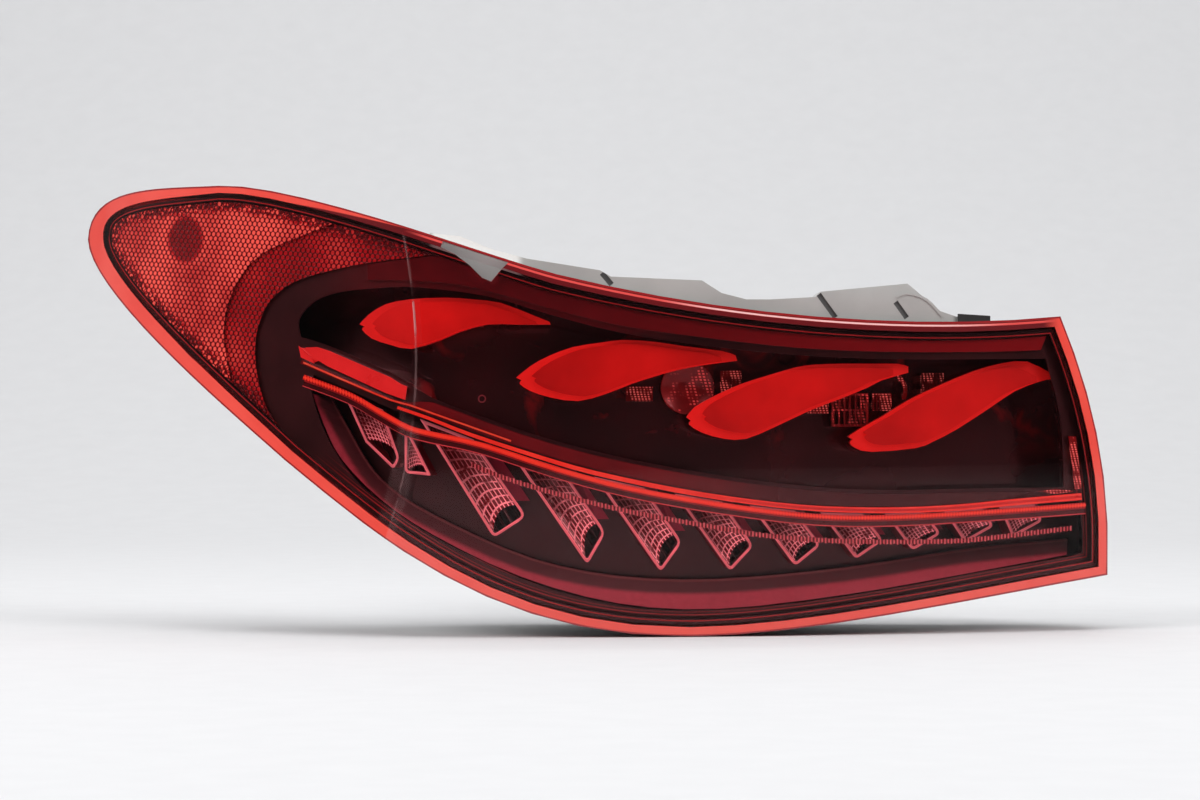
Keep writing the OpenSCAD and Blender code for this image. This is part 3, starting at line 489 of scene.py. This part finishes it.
def measure(piece, name, line, closed=True):
    """Stores each vertex's distance from a line in the front view, in millimetres."""
    mesh = piece.data
    co = np.zeros(len(mesh.vertices) * 3)
    mesh.vertices.foreach_get("co", co)
    p = co.reshape(-1, 3)[:, [0, 2]] / mm
    ends = np.roll(line, -1, 0)
    if not closed:
        line, ends = line[:-1], ends[:-1]
    run = ends - line
    best = np.full(len(p), 1e9)
    for a, ab in zip(line, run):
        t = np.clip((p - a) @ ab / (ab @ ab), 0, 1)
        best = np.minimum(best, np.linalg.norm(p - a - t[:, None] * ab, axis=1))
    mesh.attributes.new(name, "FLOAT", "POINT").data.foreach_set("value", best)


def stored(tree, name):
    return add(tree, "ShaderNodeAttribute", attribute_name=name).outputs["Fac"]


rim_plastic = moulded("rim_plastic", (0.94, 0.072, 0.052), (1.0, 0.098, 0.070), 0.18, grain=30, coat=0.6)
tree = rim_plastic.node_tree
x, z = places(tree)
edge = stored(tree, "edge")
narrowing = number(tree, "MAXIMUM", number(tree, "MULTIPLY_ADD", x, -0.055, -5.0), 0.9)
lip = fade(tree, number(tree, "SUBTRACT", edge, narrowing), -0.3, 0.3)
lip = times(tree, lip, fade(tree, z, 26, 33), fade(tree, x, 262, 250))
paint_over(rim_plastic, lip, (0.155, 0.006, 0.009))
# Painted highlight: a bright line along the lip, whiter from about x 30 to 235 mm.
lip = times(tree, lip, fade(tree, x, -110, -92))
paint_over(rim_plastic, times(tree, lip, stripe(tree, edge, 2.2, 0.75)), (0.90, 0.09, 0.08))
white = times(tree, fade(tree, x, 30, 70), fade(tree, x, 235, 190))
paint_over(rim_plastic, times(tree, lip, white, stripe(tree, edge, 2.2, 0.55)), (1.0, 0.62, 0.60))
paint_over(rim_plastic, fade(tree, edge, 1.2, 0.7), (0.34, 0.012, 0.016))
rim = smoothed("lens_rim", rim_plastic)
refined(rim, 2)
measure(rim, "edge", outline(rim_widths * 0))

# Border. A black ring printed and moulded behind the lens's edge, with a
# moulded red line round it and a dark red band at the crown.
border_black = moulded("border_black", (0.006, 0.003, 0.003), (0.012, 0.006, 0.006), 0.25, coat=0.5)
tree = border_black.node_tree
x, z = places(tree)
edge = stored(tree, "edge")
crown = times(tree, fade(tree, z, 96, 108), fade(tree, x, -290, -262))
paint_over(border_black, times(tree, crown, fade(tree, edge, 2.0, 1.2)), (0.20, 0.012, 0.016))
paint_over(border_black, fade(tree, edge, 0.7, 0.4), (0.12, 0.010, 0.012))
paint_over(border_black, stripe(tree, edge, 3.35, 0.42), (0.42, 0.035, 0.04))
border = smoothed("border_frame", border_black)
refined(border, 2)
measure(border, "edge", outline(rim_widths))

# Bezel. The gloss black plate with the openings, which steps down to the
# housing's seat. Fine moulded lines run along it below the ledge.

bezel_black = moulded("bezel_black", (0.014, 0.004, 0.005), (0.024, 0.007, 0.008), 0.30, coat=0.4, bump=0)
tree = bezel_black.node_tree
x, z = places(tree)
edge = stored(tree, "edge")
paint_over(bezel_black, times(tree, fade(tree, x, -165, -112), fade(tree, z, 40, 48)),
    (0.080, 0.006, 0.010))
below = fade(tree, z, -20, -50)
for far, half, colour in ((6.4, 0.40, (0.42, 0.03, 0.035)), (8.0, 0.30, (0.22, 0.015, 0.02)),
    (10.6, 0.35, (0.30, 0.02, 0.03))):
    paint_over(bezel_black, times(tree, below, stripe(tree, edge, far, half)), colour)
bezel = smoothed("bezel", bezel_black)
refined(bezel, 2)
measure(bezel, "edge", outline(rim_widths))

# Reflex panel. Prismatic reflector at the wrap-round end: six-sided cells moulded in one red plate whose
# inner part lies deeper. The bright middle of each cell is a painted highlight with a painted glow. The
# deeper inner part, a patch near the top and the cells near the edge are dimmed as painted shade.
reflex_finish, tree, shader = new_finish("reflex_finish")
place = add(tree, "ShaderNodeTexCoord")
pitch = 2.9 * mm


def cell_distance(tree, along, up, step_x, step_z, shift):
    """How far a point is from the nearest centre of one of two staggered grids."""
    x = number(tree, "SUBTRACT", number(tree, "FRACT",
        number(tree, "ADD", number(tree, "DIVIDE", along, step_x), shift)), 0.5)
    z = number(tree, "SUBTRACT", number(tree, "FRACT",
        number(tree, "ADD", number(tree, "DIVIDE", up, step_z), shift)), 0.5)
    x = times(tree, x, step_x)
    z = times(tree, z, step_z * 0.82)
    return number(tree, "SQRT", number(tree, "ADD", times(tree, x, x), times(tree, z, z)))


def dimmed(tree, value, share, amount):
    """The value, lowered by the amount where the share is 1."""
    return times(tree, value, number(tree, "SUBTRACT", 1.0, times(tree, share, amount)))


spread = add(tree, "ShaderNodeMapping")
spread.inputs["Rotation"].default_value = (0, math.radians(-6), 0)
join(tree, place.outputs["Object"], spread.inputs["Vector"])
axes = add(tree, "ShaderNodeSeparateXYZ")
join(tree, spread.outputs["Vector"], axes.inputs["Vector"])
near = cell_distance(tree, axes.outputs["X"], axes.outputs["Z"], pitch, pitch * 1.732, 0.0)
other = cell_distance(tree, axes.outputs["X"], axes.outputs["Z"], pitch, pitch * 1.732, 0.5)
dot = fade(tree, number(tree, "MINIMUM", near, other), pitch * 0.46, pitch * 0.26)
x, z = places(tree)
depth, reaches = depth_in(tree)
edge = stored(tree, "edge")
patches = add(tree, "ShaderNodeTexNoise", Scale=22, Detail=3)
join(tree, place.outputs["Object"], patches.inputs["Vector"])
sparkle = add(tree, "ShaderNodeTexNoise", Scale=420, Detail=1)
join(tree, place.outputs["Object"], sparkle.inputs["Vector"])
# Painted shade: the deeper inner zone, a patch near the top and the cells near the edge are dimmed.
strength = number(tree, "MULTIPLY_ADD", patches.outputs["Fac"], 1.8, 0.72 - 0.5 * 1.8)
inner_zone = fade(tree, depth, 4.8, 5.2)
strength = dimmed(tree, strength, inner_zone, 0.50)
off_x = number(tree, "DIVIDE", number(tree, "ADD", x, 239.0), 12.0)
off_z = number(tree, "DIVIDE", number(tree, "SUBTRACT", z, 99.0), 13.5)
off = number(tree, "ADD", times(tree, off_x, off_x), times(tree, off_z, off_z))
shaded = fade(tree, number(tree, "ADD", off, patches.outputs["Fac"]), 1.75, 1.15)
strength = dimmed(tree, strength, shaded, 0.75)
fringe = times(tree, fade(tree, edge, 9.0, 3.0), fade(tree, sparkle.outputs["Fac"], 0.66, 0.42))
strength = dimmed(tree, strength, fringe, 0.95)
strength = times(tree, strength, number(tree, "ADD", 0.72, times(tree, sparkle.outputs["Fac"], 0.5)))
tones = add(tree, "ShaderNodeValToRGB")
tones.color_ramp.elements[0].position = 0.0
tones.color_ramp.elements[0].color = (0.070, 0.003, 0.006, 1)
tones.color_ramp.elements[1].position = 0.85
tones.color_ramp.elements[1].color = (1.0, 0.27, 0.19, 1)
middle = tones.color_ramp.elements.new(0.35)
middle.color = (0.50, 0.010, 0.017, 1)
lit = times(tree, dot, strength)
join(tree, lit, tones.inputs["Fac"])
join(tree, tones.outputs["Color"], shader.inputs["Base Color"])
# Painted highlights with a painted glow on the cells' bright middles.
join(tree, tones.outputs["Color"], shader.inputs["Emission Color"])
join(tree, times(tree, fade(tree, lit, 0.1, 0.8), 0.20), shader.inputs["Emission Strength"])
relief = add(tree, "ShaderNodeBump", Strength=0.7, Distance=0.0006)
join(tree, dot, relief.inputs["Height"])
join(tree, relief.outputs["Normal"], shader.inputs["Normal"])
shader.inputs["Roughness"].default_value = 0.25
reflex = smoothed("reflex_panel", reflex_finish)
refined(reflex, 2)
measure(reflex, "edge", outline(rim_widths + 4.2))

# Trims. Gloss red bands behind the lens, clipped to the bezel plate from
# behind, with the plain bar at the wrap-round end and the accent strip.
upper_red = moulded("upper_red", (0.085, 0.006, 0.010), (0.105, 0.008, 0.013), 0.22, coat=0.5)
tree = upper_red.node_tree
x, z = places(tree)
paint_over(upper_red, fade(tree, x, -60, 240), (0.24, 0.010, 0.016))
smoothed("upper_trim", upper_red)
mid_red = moulded("mid_red", (0.10, 0.008, 0.012), (0.17, 0.010, 0.016), 0.22, grain=25, coat=0.5)
tree = mid_red.node_tree
x, z = places(tree)
paint_over(mid_red, fade(tree, x, 30, 120), (0.035, 0.006, 0.008))
smoothed("mid_trim", mid_red)
# The bar has a faint painted glow.
bar_finish = moulded("bar_finish", (0.78, 0.040, 0.040), (0.90, 0.055, 0.055), 0.28, coat=0.4,
    glow=((1.0, 0.03, 0.03), 0.06))
smoothed("trim_bar", bar_finish)
accent_finish = moulded("accent_finish", (0.85, 0.06, 0.03), (1.0, 0.30, 0.14), 0.2, coat=0.6)
smoothed("accent_strip", accent_finish)

# Light guides. Clear red rods and strips that run along the trims, with a faint painted glow. The long
# strip is ribbed and stands on a dark flange with a bright foot.


def flowing(points, steps=4):
    """A smooth open line through given points."""
    p = np.array(points, float)
    p = np.vstack((p[0], p, p[-1]))
    t = np.arange(steps)[:, None] / steps
    parts = []
    for a, b, c, d in zip(p, p[1:], p[2:], p[3:]):
        bend = (2 * a - 5 * b + 4 * c - d) * t ** 2 + (3 * b - a - 3 * c + d) * t ** 3
        parts.append(0.5 * (2 * b + (c - a) * t + bend))
    return np.vstack(parts + [p[-1:]])


guide_line = flowing((
    (-112, 2.5), (-94, -3.6), (-71, -12.6), (-33, -25), (-3, -33.6), (42, -43.2),
    (85, -50), (124, -54), (168, -55), (203, -53.7), (232, -51.3), (274, -48.3)))
strip_line = flowing((
    (-166, 19.5), (-139, 9.5), (-121, -0.5), (-106, -8.5), (-92, -12.3), (-65, -18.2), (-23, -31.8),
    (17, -42.4), (66, -51.3), (119, -58), (166, -58.9), (231, -55.8), (276.5, -53.1)))
# The guide has a faint painted glow.
guide_finish = moulded("guide_finish", (0.90, 0.05, 0.03), (1.0, 0.12, 0.07), 0.2, coat=0.6,
    glow=((1.0, 0.05, 0.03), 0.12))
tree = guide_finish.node_tree
x, z = places(tree)
paint_over(guide_finish, times(tree, fade(tree, x, 20, 130),
    stripe(tree, stored(tree, "edge"), 0.0, 0.9)), (0.50, 0.02, 0.02))
guide = smoothed("light_guide", guide_finish)
refined(guide, 2)
measure(guide, "edge", guide_line, closed=False)
strip_finish = moulded("strip_finish", (0.95, 0.05, 0.03), (1.0, 0.11, 0.06), 0.2, coat=0.6)
tree = strip_finish.node_tree
x, z = places(tree)
edge = stored(tree, "edge")
ribs = stripe(tree, number(tree, "FRACT", number(tree, "DIVIDE", x, 1.7)), 0.5, 0.3)
ribbed = number(tree, "ADD", fade(tree, x, 80, 110), fade(tree, x, -125, -135))
paint_over(strip_finish, times(tree, ribs, ribbed), (0.50, 0.018, 0.014))
depth, reaches = depth_in(tree)
strip_front, flange_front = 5.6, 6.0
flange = fade(tree, depth, strip_front, flange_front)
# Painted glow on a bright line along the strip's traced line.
paint_over(strip_finish, number(tree, "SUBTRACT", 1.0, fade(tree, edge, 0.2, 0.9)), (1.0, 0.10, 0.045),
    glow=0.22)
paint_over(strip_finish, flange, (0.060, 0.006, 0.009))
paint_over(strip_finish, times(tree, flange, stripe(tree, edge, 5.0, 0.45)), (0.75, 0.13, 0.15))
paint_over(strip_finish, times(tree, flange, stripe(tree, edge, 1.9, 0.35)), (0.45, 0.03, 0.04))
strip = smoothed("light_strip", strip_finish)
refined(strip, 2)
measure(strip, "edge", strip_line, closed=False)

# Marker rod. Toothed clear rod on three posts in front of the cups. The bright pink of its teeth between
# dark gaps is a painted highlight for the points of light they throw.
rod_finish = moulded("rod_finish", (0.75, 0.16, 0.20), (0.95, 0.34, 0.38), 0.15, grain=300, coat=0.8)
tree = rod_finish.node_tree
x, z = places(tree)
teeth = number(tree, "FRACT", number(tree, "DIVIDE", number(tree, "ADD", x, 71.0), 1.95))
paint_over(rod_finish, stripe(tree, teeth, 0.5, 0.36), (0.16, 0.012, 0.02))
smoothed("marker_rod", rod_finish, angle=20)

# Light chamber. Gloss black box behind the blades, screwed to the housing's back wall. Faint red patches
# of painted light from the blades lie on it, and a small ring is moulded in its floor.
chamber_finish = moulded("chamber_finish", (0.010, 0.004, 0.005), (0.050, 0.010, 0.013), 0.24, grain=16,
    coat=0.3, bump=0)
tree = chamber_finish.node_tree
x, z = places(tree)
from_ring = number(tree, "SQRT", number(tree, "ADD",
    number(tree, "POWER", number(tree, "SUBTRACT", x, -66.1), 2.0),
    number(tree, "POWER", number(tree, "SUBTRACT", z, 7.3), 2.0)))
paint_over(chamber_finish, stripe(tree, from_ring, 1.9, 0.45), (0.30, 0.10, 0.12))
patches = add(tree, "ShaderNodeTexNoise", Scale=26, Detail=4, Distortion=1.2)
place = add(tree, "ShaderNodeTexCoord")
join(tree, place.outputs["Object"], patches.inputs["Vector"])
# Painted light: faint red patches standing for the blades' light.
painted_blade_light = times(tree, fade(tree, patches.outputs["Fac"], 0.56, 0.72), fade(tree, z, -30, 10))
paint_over(chamber_finish, times(tree, painted_blade_light, 0.9), (0.26, 0.008, 0.012))
smoothed("chamber", chamber_finish)

# Light blades. Four thick blades of frosted red plastic that stand on webs in front of the chamber's
# floor, with a faint painted glow in place of light from behind. Each has a raised facet inside a
# brighter border. Their deeper walls are darkened as painted shade.
# The blades have a faint painted glow.
blade_finish = moulded("blade_finish", (0.34, 0.004, 0.004), (0.80, 0.016, 0.012), 0.30, grain=13,
    coat=0.3, glow=((1.0, 0.02, 0.015), 0.07))
tree = blade_finish.node_tree
depth, reaches = depth_in(tree)
paint_over(blade_finish, fade(tree, depth, 14.15, 14.3), (1.0, 0.075, 0.055))
paint_over(blade_finish, fade(tree, depth, 15.2, 15.4), (0.88, 0.030, 0.024))
# Painted shade: the deeper walls are darker.
paint_over(blade_finish, fade(tree, depth, 15.8, 18.0), (0.55, 0.010, 0.010))
for k in range(1, 5):
    smoothed("blade_%d" % k, blade_finish, angle=50)

# Small optics. Ribbed plates, a bowl, a box and a rod that stand between the
# blades, moulded in clear red.
optic_finish = moulded("optic_finish", (0.08, 0.004, 0.006), (0.26, 0.012, 0.012), 0.15, grain=90,
    coat=0.5)


def prisms(finish, step_x, step_z, cut, colour, glow):
    """Rows of small painted highlights with a painted glow on a prism grid, laid over a finish; a noise
    leaves some of them dark as painted shade.
    """
    tree = finish.node_tree
    x, z = places(tree)
    place = add(tree, "ShaderNodeTexCoord")
    catch = add(tree, "ShaderNodeTexNoise", Scale=150, Detail=2)
    join(tree, place.outputs["Object"], catch.inputs["Vector"])
    slanted = number(tree, "MULTIPLY_ADD", z, 0.25, x)
    across = stripe(tree, number(tree, "FRACT", number(tree, "DIVIDE", slanted, step_x)), 0.5, 0.34)
    upward = stripe(tree, number(tree, "FRACT", number(tree, "DIVIDE", z, step_z)), 0.5, 0.36)
    bright = times(tree, across, upward, fade(tree, catch.outputs["Fac"], cut, cut + 0.14))
    paint_over(finish, bright, colour, glow=glow)


# Painted glints with a painted glow on the optics.
prisms(optic_finish, 1.9, 1.3, 0.42, (1.0, 0.30, 0.26), 0.30)
for node, slot in (("ribbed_optics", "optic_red"), ("curved_rod", "optic_red"),
    ("side_prism", "optic_red")):
    smoothed(node, optic_finish)
reflector_finish = moulded("reflector_finish", (0.10, 0.005, 0.007), (0.30, 0.010, 0.013), 0.30, grain=60,
    coat=0.2)
# Painted glints with a painted glow on the reflectors.
prisms(reflector_finish, 2.3, 1.7, 0.50, (0.90, 0.16, 0.15), 0.22)
for node in ("bowl_reflectors", "box_reflector"):
    smoothed(node, reflector_finish)

# Reflector cups. Eleven metallised cups in one moulding on a black sheet, in a black tray. Each is a
# scoop crossed by fine ribs, open and dark at its tip, inside a pink rim with a faint painted glow, with
# a satin panel beside it. Each scoop is painted lighter towards its tip and its right side, and its ribs
# carry painted highlights with a glow: painted light.
tray_finish = moulded("tray_finish", (0.012, 0.005, 0.006), (0.022, 0.008, 0.010), 0.35, bump=0)
smoothed("bank_tray", tray_finish)
cup_depth = 20
ledge_line = flowing((
    (-151, 8), (-140, -11), (-127, -32), (-110, -47), (-82, -62.5), (-38, -81.5),
    (10, -91.5), (66, -93.5), (139, -87.5), (204, -78.5), (268, -73)))


def height_of(line, x):
    return float(np.interp(x, line[:, 0], line[:, 1]))


def face_y(x, z, depth):
    """Y of the layer at a depth behind the lens's outer face, in millimetres."""
    lean = math.radians(10)
    w = (x - 52) * math.cos(lean) - z * math.sin(lean)
    ball = 768 - math.sqrt((900 - depth) ** 2 - (x + 60) ** 2 - (z + 30) ** 2)
    return max(ball, 293 - math.sqrt((450 - depth) ** 2 - w * w))


cups = [
    np.array(((-143, 9.5), (-121.5, 0.5), (-112.3, -26), (-130.5, -16))),
    np.array(((-108, -9), (-106, -12), (-96, -33.8), (-107.6, -33))),
]
for i in range(9):
    a = np.array((-100 + 51 * i - 1.27 * i * i, 0))
    d = np.array((a[0] + 30 - 1.1 * i, 0))
    t = np.array((-50 + 44 * i - 1.05 * i * i, 0))
    a[1], d[1] = (height_of(guide_line, p[0]) - 2.4 for p in (a, d))
    t[1] = height_of(ledge_line, t[0]) + 4
    t = t + ((-9, 3) if i == 0 else (0, 0))
    corner = d + 0.57 * (t - a) + ((6, -5) if i == 0 else (0, 0))
    cups.append(np.array((a, d, corner, t)))

cup_finish = moulded("cup_finish", (0.010, 0.003, 0.004), (0.026, 0.006, 0.008), 0.34, grain=40, coat=0.3,
    bump=0)
tree = cup_finish.node_tree
zone = stored(tree, "zone")
paint_over(cup_finish, fade(tree, zone, 0.5, 0.6), (0.14, 0.010, 0.020))
paint_over(cup_finish, fade(tree, zone, 1.5, 1.6), (0.58, 0.11, 0.21))
# Painted glow on the pink rims.
paint_over(cup_finish, fade(tree, zone, 2.5, 2.6), (1.0, 0.34, 0.40), glow=0.26)
cup_plate = smoothed("reflector_cups", cup_finish)
# Depths behind the lens's face that part the cups' surfaces, in millimetres.
rim_back, panel_front, panel_back, wall_foot = 22.5, 24.9, 28.5, 29


def cup_zone(centre, normal):
    """0 sheet and floors, 1 walls, 2 satin panels, 3 rims."""
    reach = 900 - math.dist(centre, (-60, 768, -30))
    w = (centre.x - 52) * barrel_axis[2] - centre.z * barrel_axis[0]
    depth = min(reach, 450 - math.hypot(w, centre.y - 293))
    if normal.y > -0.5:
        return 1 if depth < wall_foot else 0
    return 3 if depth < rim_back else 2 if panel_front < depth < panel_back else 0


mark_faces(cup_plate, "zone", cup_zone)

scoop_finish, tree, shader = new_finish("scoop_finish")
grid = add(tree, "ShaderNodeUVMap", uv_map="across")
grid_axes = add(tree, "ShaderNodeSeparateXYZ")
join(tree, grid.outputs["UV"], grid_axes.inputs["Vector"])
u, w = grid_axes.outputs["X"], grid_axes.outputs["Y"]
place = add(tree, "ShaderNodeTexCoord")
glints = add(tree, "ShaderNodeTexNoise", Scale=260, Detail=2)
join(tree, place.outputs["Object"], glints.inputs["Vector"])
long_wires = stripe(tree, number(tree, "FRACT", times(tree, u, 8.0)), 0.5, 0.17)
cross_wires = stripe(tree, number(tree, "FRACT", times(tree, w, 10.0)), 0.5, 0.13)
wires = number(tree, "MAXIMUM", long_wires, cross_wires)
wires = times(tree, wires, fade(tree, glints.outputs["Fac"], 0.28, 0.52))
# Painted light: each scoop grows lighter towards its tip and right side, and its ribs get painted
# highlights with a glow, broken up by noise.
brightness = number(tree, "ADD", times(tree, w, 0.75), times(tree, u, 0.30))
between = blend(tree, brightness, (0.015, 0.003, 0.005), (0.26, 0.008, 0.020))
wire_colour = blend(tree, brightness, (0.26, 0.020, 0.04), (1.0, 0.55, 0.60))
join(tree, blend(tree, wires, between, wire_colour), shader.inputs["Base Color"])
shader.inputs["Roughness"].default_value = 0.22
shader.inputs["Coat Weight"].default_value = 0.6
relief = add(tree, "ShaderNodeBump", Strength=0.8, Distance=0.0005)
join(tree, wires, relief.inputs["Height"])
join(tree, relief.outputs["Normal"], shader.inputs["Normal"])
shader.inputs["Emission Color"].default_value = (1.0, 0.36, 0.42, 1)
hot = times(tree, wires, fade(tree, brightness, 0.30, 1.0), 0.65)
join(tree, hot, shader.inputs["Emission Strength"])

bpy.ops.object.select_all(action="DESELECT")
bpy.ops.mesh.primitive_grid_add(x_subdivisions=14, y_subdivisions=20, size=1)
pattern = bpy.context.object
pattern.name = "scoop_pattern"
for v in pattern.data.vertices:
    u = v.co.x + 0.5
    v.co.y = (v.co.y + 0.5) * (0.98 - 0.26 * u * (1.5 - u))
    v.co.x = u
    v.co.z = 4 * u * (1 - u)
pattern.data.uv_layers[0].name = "across"
for k, cup in enumerate(cups):
    a, d, corner, t = cup
    middle = cup.mean(axis=0)
    left_y, middle_y, right_y = (face_y(middle[0] + dx, middle[1], cup_depth) for dx in (-5, 0, 5))
    turn = math.atan((right_y - left_y) / 10)
    scoop = pattern.copy()
    scoop.data = pattern.data.copy()
    scoop.name = "cup_scoop_%d" % (k + 1)
    bpy.context.scene.collection.objects.link(scoop)
    for v in scoop.data.vertices:
        u, w, sink = 0.07 + 0.86 * v.co.x, 0.02 + 0.96 * v.co.y, v.co.z
        p = (1 - u) * (a + w * (t - a)) + u * (d + w * (corner - d))
        along = (p[0] - middle[0]) / math.cos(turn)
        deep = 1.0 + 2.4 * sink
        v.co = (
            (middle[0] + along * math.cos(turn) - deep * math.sin(turn)) * mm,
            (middle_y + along * math.sin(turn) + deep * math.cos(turn)) * mm,
            p[1] * mm)
    bpy.ops.object.select_all(action="DESELECT")
    scoop.select_set(True)
    bpy.context.view_layer.objects.active = scoop
    if scoop.data.polygons[0].normal.y > 0:
        bpy.ops.object.mode_set(mode="EDIT")
        bpy.ops.mesh.select_all(action="SELECT")
        bpy.ops.mesh.flip_normals()
        bpy.ops.object.mode_set(mode="OBJECT")
    bpy.ops.object.modifier_add(type="SOLIDIFY")
    scoop.modifiers[0].thickness = 0.4 * mm
    scoop.modifiers[0].offset = -1
    bpy.ops.object.modifier_apply(modifier=scoop.modifiers[0].name)
    bpy.ops.object.shade_smooth_by_angle(angle=math.radians(40))
    scoop.data.materials.append(scoop_finish)
    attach(scoop, "root")
bpy.data.objects.remove(pattern)

# Ledge. Satin mauve cover that closes the bank below the cups. Its upper part, which turns away, is
# darkened as painted shade, with a painted highlight along its top edge.
ledge_finish = moulded("ledge_finish", (0.36, 0.070, 0.115), (0.44, 0.090, 0.14), 0.42, grain=400,
    bump=0.1)
tree = ledge_finish.node_tree
x, z = places(tree)
edge = stored(tree, "edge")
# Painted shade over the upper part, and a painted highlight line at its top edge.
paint_over(ledge_finish, fade(tree, edge, 9.0, 6.0), (0.070, 0.030, 0.036))
paint_over(ledge_finish, stripe(tree, edge, 0.6, 0.7), (0.16, 0.075, 0.080))
ledge = smoothed("ledge_trim", ledge_finish)
measure(ledge, "edge", ledge_line, closed=False)

# Boards, fixings and rear fittings. Coated circuit boards, zinc plated studs
# and screws, the foam gasket, the plug socket with its pins, the control unit
# and the vent caps.
board_finish = moulded("board_finish", (0.006, 0.06, 0.015), (0.012, 0.10, 0.03), 0.35, grain=120)
for node in ("blade_board", "cup_board", "marker_board"):
    dress(node, board_finish)
zinc = moulded("zinc", (0.48, 0.48, 0.45), (0.62, 0.62, 0.60), 0.3, grain=300, metal=0.9)
for node in ("main_studs", "side_stud", "unit_screws", "chamber_screws"):
    dress(node, zinc)
white_plastic = moulded("white_plastic", (0.70, 0.70, 0.67), (0.78, 0.78, 0.75), 0.4)
dress("locating_pin", white_plastic)
foam = moulded("foam", (0.010, 0.010, 0.010), (0.030, 0.030, 0.030), 0.95, grain=900, bump=0.9,
    bump_grain=1500)
dress("gasket", foam)
socket_black = moulded("socket_black", (0.012, 0.012, 0.013), (0.022, 0.022, 0.024), 0.45)
for node in ("connector_shell", "control_unit", "vent_caps"):
    dress(node, socket_black)
contact_metal = moulded("contact_metal", (0.62, 0.44, 0.16), (0.78, 0.58, 0.24), 0.25, metal=0.9)
dress("connector_pins", contact_metal)
